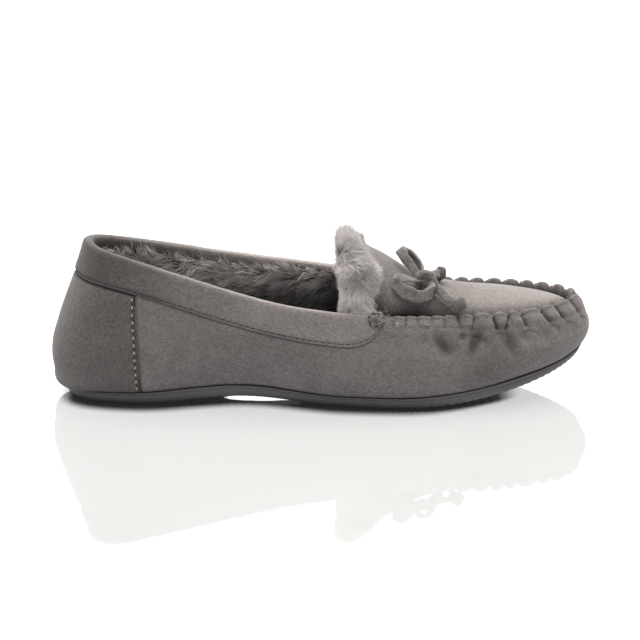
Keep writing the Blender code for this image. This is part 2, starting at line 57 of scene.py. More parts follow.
# ---------------------------------------------------------------- shape, as in part.py
# Stations, millimetres. Feather edge (x, y) on the sole, and top edge (x, y, z).
FEATHER_EDGE = (
    (-122.5, 1.0), (-115.5, -16.5), (-85.4, -26.2), (-40.0, -25.4), (0.0, -30.4), (45.0, -37.4),
    (85.0, -32.6), (112.5, -17.8), (125.3, 4.5), (117.5, 24.5), (88.0, 37.5), (50.0, 38.2),
    (5.0, 28.5), (-38.0, 22.5), (-82.0, 26.5), (-115.5, 19.0),
)
TOP_EDGE = (
    (-112.5, 1.5, 73.0), (-106.0, -14.0, 71.8), (-87.5, -22.0, 67.4), (-40.0, -29.0, 53.5),
    (0.0, -31.2, 45.3), (45.0, -28.2, 42.3), (84.0, -23.2, 42.0), (108.5, -12.6, 42.4),
    (122.3, 4.5, 43.3), (113.0, 20.0, 44.0), (87.0, 28.0, 44.6), (50.0, 30.0, 46.2),
    (5.0, 30.5, 52.3), (-38.0, 29.5, 58.3), (-82.0, 23.5, 66.7), (-106.0, 15.0, 71.6),
)
# How each rib leaves the feather edge and arrives at the top: (out, up, out, down).
RIB_HANDLES = (
    (14.0, 12.0, 8.5, 30.0), (11.0, 13.0, 7.0, 27.0), (6.0, 14.0, 4.0, 22.0),
    (5.0, 12.0, 2.5, 15.0), (5.0, 11.0, 4.0, 13.0), (4.5, 11.0, 10.0, 9.0),
    (4.5, 10.0, 10.0, 8.0), (5.0, 8.5, 9.0, 7.0), (5.0, 7.5, 6.5, 7.0), (5.0, 8.0, 9.0, 7.0),
    (4.5, 10.0, 9.0, 8.0), (4.5, 11.0, 8.0, 9.0), (5.0, 12.0, 3.0, 14.0),
    (6.0, 13.0, 1.5, 16.0), (6.0, 14.0, 4.0, 22.0), (11.0, 13.0, 7.0, 27.0),
)
STATIONS = len(FEATHER_EDGE)
TOE = 8
HEEL_SEAM_LATERAL, HEEL_SEAM_MEDIAL = 2.0, 14.0
CORNER_LATERAL, CORNER_MEDIAL = 4.62, 11.52
THROAT_LATERAL, THROAT_MEDIAL = 4.28, 11.86

ARCH_START, ARCH_END, ARCH_RISE = -88.0 * MM, 10.0 * MM, 3.4 * MM
TOE_SPRING_START, TOE_SPRING_LENGTH, TOE_SPRING_RISE = 37.0 * MM, 88.0 * MM, 16.6 * MM
TOE_SPRING_POWER = 1.65
HEEL_ROLL_START, HEEL_ROLL_LENGTH, HEEL_ROLL_RISE = -108.0 * MM, 15.0 * MM, 1.2 * MM
SOLE_THICKNESS = (  # (x, thickness), millimetres
    (-123.0, 5.2), (-85.0, 6.5), (-40.0, 6.5), (0.0, 5.8), (40.0, 6.1), (65.0, 6.4),
    (90.0, 6.2), (110.0, 5.5), (125.0, 4.5),
)
COLLAR_DROP, COLLAR_DROP_END = 13.4 * MM, 2.5 * MM
COLLAR_CURVE = 0.42
RIM_RADIUS, RIM_RADIUS_END = 2.3 * MM, 1.8 * MM
RIM_TAPER = 0.9
TOPSTITCH_RISE = 1.6 * MM
APRON_INSET, APRON_TUCK = 1.7 * MM, 4.2 * MM
APRON_CREST = (  # (x, z) along the middle, millimetres
    (10.0, 74.2), (20.0, 71.2), (30.0, 65.8), (40.0, 58.8), (50.0, 53.6), (65.0, 50.0),
    (90.0, 47.2), (121.0, 43.2),
)
ARCH_POWER_THROAT, ARCH_POWER_TOE = 0.58, 0.85
SOLE_CLEARANCE = 0.3 * MM  # between the sole and the foot of the wall
HALVINGS = 26  # steps of each search by halving


class ClosedSpline:
    """A smooth closed curve with one point at each station."""

    def __init__(self, points):
        self.points = np.array(points, float) * MM
        count = len(self.points)
        shift = np.roll(np.eye(count), 1, axis=1)
        after = np.roll(self.points, -1, axis=0)
        before = np.roll(self.points, 1, axis=0)
        matrix = 4 * np.eye(count) + shift + shift.T
        self.bends = np.linalg.solve(matrix, 6 * (after - 2 * self.points + before))

    def __call__(self, station):
        station = np.asarray(station, float)
        here = np.floor(station).astype(int) % len(self.points)
        after = (here + 1) % len(self.points)
        share = (station - np.floor(station))[..., None]
        rest = 1 - share
        straight = rest * self.points[here] + share * self.points[after]
        bent = (rest**3 - rest) * self.bends[here] + (share**3 - share) * self.bends[after]
        return straight + bent / 6


class OpenSpline:
    """A smooth height over x through (x, height) points, straight at both ends."""

    def __init__(self, points):
        self.x, self.y = np.array(points, float).T * MM
        step = np.diff(self.x)
        slope = np.diff(self.y) / step
        count = len(self.x)
        matrix = np.eye(count)
        right = np.zeros(count)
        for i in range(1, count - 1):
            matrix[i, i - 1 : i + 2] = step[i - 1], 2 * (step[i - 1] + step[i]), step[i]
            right[i] = 6 * (slope[i] - slope[i - 1])
        self.bends = np.linalg.solve(matrix, right)

    def __call__(self, x):
        x = np.clip(x, self.x[0], self.x[-1])
        i = np.clip(np.searchsorted(self.x, x) - 1, 0, len(self.x) - 2)
        step = self.x[i + 1] - self.x[i]
        share = (x - self.x[i]) / step
        rest = 1 - share
        straight = rest * self.y[i] + share * self.y[i + 1]
        bent = (rest**3 - rest) * self.bends[i] + (share**3 - share) * self.bends[i + 1]
        return straight + bent * step**2 / 6


feather_edge = ClosedSpline(FEATHER_EDGE)
top_edge = ClosedSpline(TOP_EDGE)
rib_handles = ClosedSpline(RIB_HANDLES)
sole_thickness = OpenSpline(SOLE_THICKNESS)
apron_crest = OpenSpline(APRON_CREST)


def unit(vectors):
    """Vectors of length 1 the same way."""
    return vectors / np.maximum(np.linalg.norm(vectors, axis=-1, keepdims=True), 1e-12)


def smooth_step(value):
    """An even rise from 0 to 1 as the value goes from 0 to 1."""
    value = np.clip(value, 0.0, 1.0)
    return value * value * (3 - 2 * value)


def bell(distance, width):
    """1 at no distance, falling to nothing beyond about twice the width."""
    return np.exp(-((distance / width) ** 2))


def mix(a, b, share):
    """From a to b by a share from 0 to 1."""
    return a + (b - a) * share


def tread(x):
    """Height of the sole's underside: flat at heel and ball, arched between, sprung at the toe."""
    arch = np.clip((x - ARCH_START) / (ARCH_END - ARCH_START), 0, 1)
    spring = np.clip((x - TOE_SPRING_START) / TOE_SPRING_LENGTH, 0, None)
    roll = np.clip((HEEL_ROLL_START - x) / HEEL_ROLL_LENGTH, 0, None)
    return (
        ARCH_RISE * np.sin(math.pi * arch) ** 2
        + TOE_SPRING_RISE * spring**TOE_SPRING_POWER
        + HEEL_ROLL_RISE * roll**2
    )


def sole_top(x):
    """Height of the sole's upper face."""
    return tread(x) + sole_thickness(x)


def plan_outward(curve, station):
    """Unit vector pointing away from the foot, level, square to a closed curve."""
    step = 0.01
    along = curve(station + step) - curve(station - step)
    return unit(np.stack([along[..., 1], -along[..., 0], np.zeros_like(along[..., 0])], axis=-1))


def rib(station, share):
    """Point on the wall's outer face, share 0 at the feather edge and 1 at the top edge."""
    station, share = np.broadcast_arrays(np.asarray(station, float), np.asarray(share, float))
    foot = feather_edge(station)
    foot = np.concatenate([foot, (sole_top(foot[..., 0]) + SOLE_CLEARANCE)[..., None]], axis=-1)
    top = top_edge(station)
    handles = rib_handles(station)
    outward = plan_outward(feather_edge, station)
    low = foot + outward * handles[..., 0:1] + UP * handles[..., 1:2]
    high = top + outward * handles[..., 2:3] - UP * handles[..., 3:4]
    share = share[..., None]
    rest = 1 - share
    return rest**3 * foot + 3 * rest**2 * share * low + 3 * rest * share**2 * high + share**3 * top


def wall_frame(station, share):
    """Wall points, with unit vectors along the wall, up the rib and inward."""
    step = 0.004
    point = rib(station, share)
    along = rib(station + step, share) - rib(station - step, share)
    rise = unit(rib(station, share + step) - rib(station, share - step))
    inward = -unit(np.cross(along, rise))
    return point, unit(along), rise, inward


def share_at_height(station, height):
    """Where a rib reaches a height above the floor."""
    low = np.zeros_like(station)
    high = np.ones_like(station)
    for _ in range(HALVINGS):
        middle = (low + high) / 2
        below = rib(station, middle)[..., 2] < height
        low = np.where(below, middle, low)
        high = np.where(below, high, middle)
    return (low + high) / 2


def from_corner(station):
    """Stations between here and the nearer front end of the collar, 0 beyond it."""
    station = np.where(station > TOE, station - STATIONS, station)
    lateral = CORNER_LATERAL - station
    medial = station - (CORNER_MEDIAL - STATIONS)
    return np.clip(np.minimum(lateral, medial), 0, None)


def collar_seam(station):
    """Share of the rib at which the wall meets the collar."""
    rounded = np.sqrt(np.clip(1 - (1 - from_corner(station) / COLLAR_CURVE).clip(0, 1) ** 2, 0, 1))
    drop = COLLAR_DROP_END + (COLLAR_DROP - COLLAR_DROP_END) * rounded
    return share_at_height(station, top_edge(station)[..., 2] - drop)


def rim_radius(station):
    """Radius of the collar's folded rim, less by the corners."""
    return mix(RIM_RADIUS_END, RIM_RADIUS, smooth_step(from_corner(station) / RIM_TAPER))


def run_along(points):
    """Distance along a line of points."""
    return np.append(0.0, np.cumsum(np.linalg.norm(np.diff(points, axis=0), axis=1)))


def height_up(points):
    """Distance up each rib of a grid of wall points, ribs along its first axis."""
    step = np.linalg.norm(np.diff(points, axis=1), axis=-1)
    return np.concatenate([np.zeros((len(points), 1)), np.cumsum(step, axis=1)], axis=1)


def even_stations(start, end, step, share=0.6):
    """Stations an even distance apart along the wall."""
    fine = np.linspace(start, end, 3000)
    run = run_along(rib(fine, share))
    count = max(2, round(run[-1] / step))
    return np.interp(np.linspace(0, run[-1], count + 1), run, fine)


def apron_edges(station, inset):
    """The lateral and medial apron edge points at lateral stations, moved in by inset."""
    reach = (TOE - station) / (TOE - THROAT_LATERAL)
    other = TOE + reach * (THROAT_MEDIAL - TOE)
    ends = []
    for at, corner in ((station, CORNER_LATERAL), (other, CORNER_MEDIAL)):
        tuck = smooth_step((abs(TOE - at) - abs(TOE - corner) + 0.12) / 0.2)
        move = inset + APRON_TUCK * tuck
        ends.append(top_edge(at) - plan_outward(top_edge, at) * move[..., None])
    return ends[0], ends[1], reach


def apron_point(station, across, inset=APRON_INSET):
    """Point on the apron's outer face, across from -1 at the lateral edge to 1."""
    station, across = np.broadcast_arrays(np.asarray(station, float), np.asarray(across, float))
    lateral, medial, reach = apron_edges(station, inset)
    share = ((across + 1) / 2)[..., None]
    point = lateral * (1 - share) + medial * share
    power = ARCH_POWER_TOE + (ARCH_POWER_THROAT - ARCH_POWER_TOE) * reach**2
    crown = apron_crest(point[..., 0]) - (lateral[..., 2] + medial[..., 2]) / 2
    point[..., 2] += np.maximum(crown, 0) * np.maximum(1 - across * across, 0) ** power
    return point


def apron_frame(station, across, inset=APRON_INSET):
    """Apron points, with unit vectors towards the toe, towards the medial side and outward."""
    step = 0.01
    point = apron_point(station, across, inset)
    forward = apron_point(station + step, across, inset) - point
    side = apron_point(station, np.minimum(across + step, 1), inset) - apron_point(
        station, np.maximum(across - step, -1), inset
    )
    return point, unit(forward), unit(side), unit(np.cross(forward, side))


def on_apron(x, y, lift):
    """World point, metres, above the apron at a plan position in millimetres."""
    low, high = THROAT_LATERAL, TOE - 0.05
    for _ in range(HALVINGS):
        middle = (low + high) / 2
        lateral, medial, _ = apron_edges(np.array(middle), APRON_INSET)
        share = (y * MM - lateral[1]) / (medial[1] - lateral[1])
        if lateral[0] * (1 - share) + medial[0] * share < x * MM:
            low = middle
        else:
            high = middle
    across = np.clip(2 * share - 1, -1, 1)
    return np.array([x * MM, y * MM, apron_point(np.array(low), across)[2] + lift * MM])


# ---------------------------------------------------------------- noise and mesh tools
def lattice(cell, seed):
    """A repeatable value from 0 to 1 for each whole-numbered cell."""
    mask = 0xFFFFFFFF
    mixed = (cell[..., 0] * 374761393 + cell[..., 1] * 668265263 + cell[..., 2] * 1442695041) & mask
    mixed = (mixed + seed * 1013904223) & mask
    mixed = ((mixed ^ (mixed >> 13)) * 1274126177) & mask
    mixed = ((mixed ^ (mixed >> 15)) * 2246822519) & mask
    return ((mixed ^ (mixed >> 16)) & 0xFFFF) / 65535.0


def noise(points, size, seed=0):
    """Smooth noise from -1 to 1 with features of about one size, in metres."""
    scaled = np.asarray(points) / size
    cell = np.floor(scaled).astype(np.int64)
    share = smooth_step(scaled - cell)
    total = 0.0
    for corner in np.ndindex(2, 2, 2):
        corner = np.array(corner)
        weight = np.prod(np.where(corner == 1, share, 1 - share), axis=-1)
        total = total + weight * lattice(cell + corner, seed)
    return 2 * total - 1


def noise_vectors(points, size, seed=0):
    """Noise of its own on each axis."""
    return np.stack([noise(points, size, seed + k) for k in range(3)], axis=-1)


def grid_normals(grid):
    """Unit normals of a grid of points, rows along the first axis."""
    return unit(np.cross(np.gradient(grid, axis=0), np.gradient(grid, axis=1)))


def cell_areas(grid):
    """Area of each cell of a grid of points."""
    edge_a = grid[1:, :-1] - grid[:-1, :-1]
    edge_b = grid[:-1, 1:] - grid[:-1, :-1]
    return np.linalg.norm(np.cross(edge_a, edge_b), axis=-1)


def roughen(points, *layers):
    """Points moved by layers of noise, each (amount, feature size, seed), sizes in mm."""
    for amount, size, seed in layers:
        points = points + amount * MM * noise_vectors(points, size * MM, seed)
    return points


def mesh_piece(name, vertices, quads, finish, attributes=None):
    """An object from an array of points and an array of four-cornered faces."""
    mesh = bpy.data.meshes.new(name)
    mesh.vertices.add(len(vertices))
    mesh.vertices.foreach_set("co", np.asarray(vertices, np.float32).ravel())
    mesh.loops.add(quads.size)
    mesh.loops.foreach_set("vertex_index", np.asarray(quads, np.int32).ravel())
    mesh.polygons.add(len(quads))
    mesh.polygons.foreach_set("loop_start", np.arange(0, quads.size, 4, dtype=np.int32))
    mesh.polygons.foreach_set("use_smooth", np.full(len(quads), True))
    mesh.update(calc_edges=True)
    for label, values in (attributes or {}).items():
        mesh.attributes.new(label, "FLOAT", "POINT").data.foreach_set(
            "value", np.asarray(values, np.float32).ravel()
        )
    mesh.materials.append(finish)
    piece = bpy.data.objects.new(name, mesh)
    bpy.context.scene.collection.objects.link(piece)
    return piece


def grid_quads(rows, columns, start=0, wrap=False):
    """Faces between neighbours of a rows by columns grid of vertices."""
    index = start + np.arange(rows * columns).reshape(rows, columns)
    if wrap:
        index = np.concatenate([index, index[:, :1]], axis=1)
    corners = (index[:-1, :-1], index[1:, :-1], index[1:, 1:], index[:-1, 1:])
    return np.stack(corners, axis=-1).reshape(-1, 4)


def shell(name, outer, thickness, finish, flip=False, attributes=None):
    """A sheet of cloth or leather with an outer face, an inner face and edges."""
    rows, columns = outer.shape[:2]
    normals = grid_normals(outer)
    if flip:
        normals = -normals
    inner = outer - normals * np.asarray(thickness)[..., None]
    count = rows * columns
    face = grid_quads(rows, columns)
    back = grid_quads(rows, columns, count)[:, ::-1]
    index = np.arange(count).reshape(rows, columns)
    border = np.concatenate([index[0, :-1], index[:-1, -1], index[-1, :0:-1], index[:0:-1, 0]])
    ahead = np.roll(border, -1)
    rim = np.stack([border, ahead, ahead + count, border + count], axis=-1)
    quads = np.concatenate([face, back, rim])
    if flip:
        quads = quads[:, ::-1]
    vertices = np.concatenate([outer.reshape(-1, 3), inner.reshape(-1, 3)])
    doubled = {label: np.tile(np.ravel(v), 2) for label, v in (attributes or {}).items()}
    return mesh_piece(name, vertices, quads, finish, doubled)


def smooth_path(points, step):
    """Rows close together on a smooth curve through control rows of any width."""
    points = np.asarray(points, float)
    ends = np.vstack([2 * points[0] - points[1], points, 2 * points[-1] - points[-2]])
    route = [points[0]]
    for a, b, c, d in zip(ends, ends[1:], ends[2:], ends[3:]):
        pieces = max(2, round(float(np.linalg.norm((c - b)[:3])) / step))
        for t in np.arange(1, pieces + 1) / pieces:
            square, cube = 2 * a - 5 * b + 4 * c - d, 3 * b - a - 3 * c + d
            route.append(0.5 * (2 * b + (c - a) * t + square * t**2 + cube * t**3))
    return np.array(route)


def sweep(path, sides, widths, thicknesses, corner=0.55, ring=16):
    """Vertices and faces of a band that follows a path, width along its own side vectors."""
    tangent = unit(np.gradient(path, axis=0))
    side = unit(sides - tangent * np.sum(sides * tangent, axis=1, keepdims=True))
    face = np.cross(tangent, side)
    turn = (np.arange(ring) + 0.5) * 2 * math.pi / ring
    across = np.sign(np.cos(turn)) * np.abs(np.cos(turn)) ** corner
    through = np.sign(np.sin(turn)) * np.abs(np.sin(turn)) ** corner
    grid = (
        path[:, None]
        + side[:, None] * across[None, :, None] * widths[:, None, None] / 2
        + face[:, None] * through[None, :, None] * thicknesses[:, None, None] / 2
    )
    count = len(path)
    quads = [grid_quads(count, ring, wrap=True)]
    for base, turned in ((0, False), ((count - 1) * ring, True)):
        i = np.arange(ring // 2 - 1)
        cap = base + np.stack([i, i + 1, ring - 2 - i, ring - 1 - i], axis=-1)
        quads.append(cap[:, ::-1] if turned else cap)
    return grid.reshape(-1, 3), np.concatenate(quads)


def join(parts):
    """One vertex array and one face array from several."""
    vertices, quads, start = [], [], 0
    for points, faces in parts:
        vertices.append(points)
        quads.append(faces + start)
        start += len(points)
    return np.concatenate(vertices), np.concatenate(quads)


def pellets(centres, along, out, length, width, height):
    """Small rounded dashes, each lying along one direction: vertices and faces."""
    turns, rings = 8, 6
    down = np.linspace(0, math.pi, rings)[:, None]
    turn = np.linspace(0, 2 * math.pi, turns, endpoint=False)
    shape = np.stack(
        [np.cos(down) * np.ones(turns), np.sin(down) * np.cos(turn), np.sin(down) * np.sin(turn)],
        axis=-1,
    ).reshape(-1, 3)
    shape = np.sign(shape) * np.abs(shape) ** 0.8 / 2
    across = unit(np.cross(out, along))
    points = (
        centres[:, None]
        + along[:, None] * shape[None, :, 0:1] * length
        + across[:, None] * shape[None, :, 1:2] * width
        + out[:, None] * shape[None, :, 2:3] * height
    )
    faces = grid_quads(rings, turns, wrap=True)
    starts = np.arange(len(centres)) * len(shape)
    quads = (faces[None] + starts[:, None, None]).reshape(-1, 4)
    return points.reshape(-1, 3), quads


def fur(name, roots, normals, comb, length, finish, seed, clump=14, pull=0.6, lift=0.5,
        width=0.2, stray=0.25, shade=0.0, vary=1.0):
    """Tapered ribbons of fleece, bent the way they are combed and drawn into clumps.

    clump: strands to a clump; pull: how far they are drawn in; lift: 0 lies flat, 1 stands up;
    width: mm; stray: how far each leaves the comb; shade: a shift of its tone, which callers use for
    painted light and shade as well as tone; vary: its tone's spread."""
    rng = np.random.default_rng(seed)
    count = len(roots)
    length = np.broadcast_to(np.asarray(length, float), (count,)) * rng.uniform(0.75, 1.15, count)
    lift = np.broadcast_to(np.asarray(lift, float), (count,))[:, None]
    wander = rng.normal(0, stray, (count, 3))
    comb = unit(comb - normals * np.sum(comb * normals, axis=1, keepdims=True))
    first = unit(normals * (0.35 + lift) + comb * (1 - lift * 0.6) + wander)
    last = unit(comb * (1 - lift * 0.75) + normals * (lift - 0.28) + wander * 1.3)
    reach = length[:, None]
    bend = roots + first * reach * 0.45
    tip = bend + last * reach * 0.6
    centres = rng.choice(count, max(1, count // clump), replace=False)
    tree = kdtree.KDTree(len(centres))
    for i, chosen in enumerate(centres):
        tree.insert(roots[chosen], i)
    tree.balance()
    nearest = np.array([centres[tree.find(point)[1]] for point in roots.tolist()])
    hold = rng.uniform(0.35, 1.0, (count, 1)) * pull
    tip = tip + (tip[nearest] - tip) * hold
    bend = bend + (bend[nearest] - bend) * hold * 0.45
    steps = 4
    share = np.linspace(0, 1, steps)[None, :, None]
    line = (
        roots[:, None] * (1 - share) ** 2
        + bend[:, None] * 2 * share * (1 - share)
        + tip[:, None] * share**2
    )
    tangent = unit(np.gradient(line, axis=1))
    facing = unit(normals + rng.normal(0, 0.45, (count, 3)))[:, None]
    across = unit(np.cross(tangent, facing))
    taper = np.array([0.8, 1.0, 0.75, 0.12])[None, :, None]
    half = across * taper * rng.uniform(0.7, 1.25, (count, 1, 1)) * width * MM / 2
    grid = np.stack([line - half, line + half], axis=2).reshape(-1, 3)
    pair = np.arange(steps - 1) * 2
    quads = np.stack([pair, pair + 1, pair + 3, pair + 2], axis=-1)
    quads = (quads[None] + (np.arange(count) * steps * 2)[:, None, None]).reshape(-1, 4)
    along = np.broadcast_to(np.linspace(0, 1, steps)[None, :, None], (count, steps, 2))
    tone = rng.uniform(0, 1, count) * 0.55 + rng.uniform(0, 1, count)[nearest % count] * 0.45
    tone = np.clip(0.5 + vary * (tone - 0.5) + shade, 0, 1)
    tone = np.broadcast_to(tone[:, None, None], (count, steps, 2))
    return mesh_piece(name, grid, quads, finish, {"along": along, "tone": tone})


def scatter(grid, count, seed, weight=None):
    """Random points on a grid surface by area: index arrays and shares for interpolation."""
    rng = np.random.default_rng(seed)
    area = cell_areas(grid)
    if weight is not None:
        area = area * weight[:-1, :-1]
    chosen = rng.choice(area.size, count, p=(area / area.sum()).ravel())
    row, column = np.unravel_index(chosen, area.shape)
    return row, column, rng.uniform(0, 1, (count, 1)), rng.uniform(0, 1, (count, 1))


def sample(grid, places):
    """Values of a grid at scattered places."""
    row, column, a, b = places
    low = grid[row, column] * (1 - b) + grid[row, column + 1] * b
    high = grid[row + 1, column] * (1 - b) + grid[row + 1, column + 1] * b
    return low * (1 - a) + high * a


def put(piece, slot_name, *nodes):
    """Attach a piece to the root body, and hide the CAD nodes that it stands for; slot_name is not
    used.
    """
    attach(piece, "root")
    if nodes:
        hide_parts(*nodes)


def middle_and_half(node):
    """Middle and half size of a CAD node's box."""
    low, high = (np.array(corner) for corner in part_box(node))
    return (low + high) / 2, (high - low) / 2


# ---------------------------------------------------------------- finishes
class Finish:
    """A Principled material with small helpers for its procedural nodes."""

    def __init__(self, name, colour, roughness, sheen=0.0, specular=0.3):
        self.material = bpy.data.materials.new(name)
        self.material.use_nodes = True
        self.tree = self.material.node_tree
        self.shader = self.tree.nodes["Principled BSDF"]
        self.shader.inputs["Base Color"].default_value = (*colour, 1.0)
        self.shader.inputs["Roughness"].default_value = roughness
        self.shader.inputs["Specular IOR Level"].default_value = specular
        self.shader.inputs["Sheen Weight"].default_value = sheen
        self.shader.inputs["Sheen Roughness"].default_value = 0.45
        self.material.diffuse_color = (*colour, 1.0)

    def node(self, kind, **settings):
        made = self.tree.nodes.new(kind)
        for label, value in settings.items():
            if label in made.inputs:
                made.inputs[label].default_value = value
            else:
                setattr(made, label, value)
        return made

    def link(self, source, target):
        self.tree.links.new(source, target)

    def place(self, scale=(1.0, 1.0, 1.0)):
        """Object coordinates in metres, stretched."""
        coordinates = self.node("ShaderNodeTexCoord")
        mapping = self.node("ShaderNodeMapping", Scale=scale)
        self.link(coordinates.outputs["Object"], mapping.inputs["Vector"])
        return mapping.outputs["Vector"]

    def noise(self, place, scale, detail=3.0, rough=0.55, distortion=0.0):
        made = self.node(
            "ShaderNodeTexNoise", Scale=scale, Detail=detail, Roughness=rough, Distortion=distortion
        )
        self.link(place, made.inputs["Vector"])
        return made.outputs["Fac"]

    def ramp(self, value, stops):
        made = self.node("ShaderNodeValToRGB")
        band = made.color_ramp
        while len(band.elements) < len(stops):
            band.elements.new(0.5)
        for element, (position, colour) in zip(band.elements, stops):
            element.position = position
            element.color = (*colour, 1.0)
        self.link(value, made.inputs["Fac"])
        return made.outputs["Color"]

    def attribute(self, name):
        """A value that the mesh carries at each point."""
        return self.node("ShaderNodeAttribute", attribute_name=name).outputs["Fac"]

    def tint(self, base, value, *stops):
        """A colour times a grey that follows a value, with stops of (position, grey)."""
        made = self.node("ShaderNodeMix", data_type="RGBA", blend_type="MULTIPLY")
        made.inputs["Factor"].default_value = 1.0
        self.link(base, made.inputs[6])
        self.link(self.ramp(value, [(at, (grey,) * 3) for at, grey in stops]), made.inputs[7])
        return made.outputs[2]

    def colour_from(self, source):
        self.link(source, self.shader.inputs["Base Color"])

    def bump(self, heights, distance):
        """Bump from a list of (height output, strength)."""
        normal = None
        for height, strength in heights:
            made = self.node("ShaderNodeBump", Strength=strength, Distance=distance)
            self.link(height, made.inputs["Height"])
            if normal is not None:
                self.link(normal, made.inputs["Normal"])
            normal = made.outputs["Normal"]
        self.link(normal, self.shader.inputs["Normal"])


def grey(level, red=1.0, blue=0.0):
    """A warm grey of a reflectance; red and blue shift its cast."""
    return (level * (1 + 0.075 * red), level * (1 - 0.03 * red), level * (1 - 0.035 * red + blue))


def suede(name, level, red=1.0, nap_shade=None):
    """Brushed suede: faint patches in the pile, fine fibres, painted shade in its hollows and
    painted highlights along rims and edges.

    nap_shade is (x from, x to, tone at the first): painted shade, darker towards the first x, for
    the look of pile that leans away."""
    made = Finish(name, grey(level, red), 0.95, sheen=0.2, specular=0.1)
    place = made.place()
    cloud = made.noise(made.place((1.0, 1.0, 1.5)), 26.0, 7.0, 0.7, 0.8)
    low, high = grey(level * 0.84, red), grey(level * 1.16, red)
    base = made.ramp(cloud, ((0.3, low), (0.7, high)))
    fibre = made.noise(made.place((0.8, 1.0, 1.0)), 1000.0, 2.0, 0.7, 0.6)
    fleck = made.noise(place, 1600.0, 2.0, 0.7)
    base = made.tint(base, fibre, (0.32, 0.79), (0.68, 1.23))
    base = made.tint(base, fleck, (0.3, 0.78), (0.7, 1.2))
    # Painted shade that each mesh carries: down to 0.22 of its colour in creases, grooves and under
    # things.
    base = made.tint(base, made.attribute("painted_shade"), (0.0, 1.0), (1.0, 0.22))
    # Painted highlight that each mesh carries: up to 2.2 times its colour on rims and edges.
    base = made.tint(base, made.attribute("worn"), (0.0, 1.0), (1.0, 2.2))
    # Painted shade along x, darker towards one end.
    if nap_shade:
        start, end, tone = nap_shade
        split = made.node("ShaderNodeSeparateXYZ")
        made.link(place, split.inputs["Vector"])
        span = made.node("ShaderNodeMapRange", interpolation_type="SMOOTHSTEP")
        span.inputs["From Min"].default_value = start * MM
        span.inputs["From Max"].default_value = end * MM
        made.link(split.outputs["X"], span.inputs["Value"])
        base = made.tint(base, span.outputs["Result"], (0.0, tone), (1.0, 1.0))
    made.colour_from(base)
    made.bump([(fibre, 0.35), (fleck, 0.3)], 0.0005)
    return made.material


def fleece(name, dark, middle, light, low=0.72, high=1.25):
    """Fleece strands, dark at the root and light at the tip, each its own tone."""
    made = Finish(name, grey(middle, 0.7), 0.7, sheen=0.15, specular=0.25)
    shades = ((0.0, grey(dark, 0.6)), (0.45, grey(middle, 0.6)), (1.0, grey(light, 0.6)))
    base = made.ramp(made.attribute("along"), shades)
    made.colour_from(made.tint(base, made.attribute("tone"), (0.0, low), (1.0, high)))
    return made.material


def plain(name, colour, roughness, specular=0.3, speckle=None):
    """A plain finish, with a fine speckle where one is given as (scale, spread)."""
    made = Finish(name, colour, roughness, specular=specular)
    if speckle:
        scale, spread = speckle
        value = made.noise(made.place(), scale, 3.0)
        flat = made.node("ShaderNodeRGB")
        flat.outputs[0].default_value = (*colour, 1.0)
        made.colour_from(made.tint(flat.outputs[0], value, (0.3, 1 - spread), (0.7, 1 + spread)))
        made.bump([(value, 0.3)], 0.0004)
    return made.material


SUEDE_WALL = suede("suede_wall", 0.164)
# A darker copy of the wall's suede: painted shade over the heel panel.
SUEDE_HEEL_SHADED = suede("suede_heel", 0.113)
# The collar is painted darker towards the heel and the apron towards its back: painted shade along
# x.
SUEDE_COLLAR = suede("suede_collar", 0.205, 1.0, (-120.0, -20.0, 0.33))
SUEDE_APRON = suede("suede_apron", 0.247, 0.9, (30.0, 105.0, 0.66))
SUEDE_LACE = suede("suede_lace", 0.165)
# A darker copy of the lace's suede for the end knots: painted shade.
SUEDE_KNOT_SHADED = suede("suede_knot_shaded", 0.118)
# A near-black backing under the lining, insole and apron lining fleece: painted shade in the depths
# between the strands.
PELT_SHADED = plain("fleece_backing", grey(0.08), 1.0, 0.1, (900.0, 0.2))
CUFF_PELT = plain("cuff_fleece_backing", grey(0.26), 1.0, 0.1, (900.0, 0.2))
CUFF_FLEECE = fleece("cuff_fleece", 0.25, 0.49, 0.65)
LINING_FLEECE = fleece("lining_fleece", 0.14, 0.39, 0.56, 0.28, 1.4)
RUBBER = plain("outsole_rubber", grey(0.105, 0.3), 0.6, 0.35, (700.0, 0.08))
# Dark thread, also used for pellets of painted shade in the heel seams' holes.
DARK_THREAD_AND_HOLE_SHADE = plain("dark_thread_and_hole_shade", grey(0.03), 0.85)
THREAD_LIGHT = plain("thread_light", grey(0.42, 0.6), 0.8)
BOARD = plain("fibre_board", (0.36, 0.27, 0.18), 0.9, 0.2, (500.0, 0.12))
FOAM = plain("foam", (0.68, 0.66, 0.60), 1.0, 0.1, (1200.0, 0.1))
FELT = plain("stiffener_felt", (0.45, 0.43, 0.40), 0.95, 0.1, (800.0, 0.15))


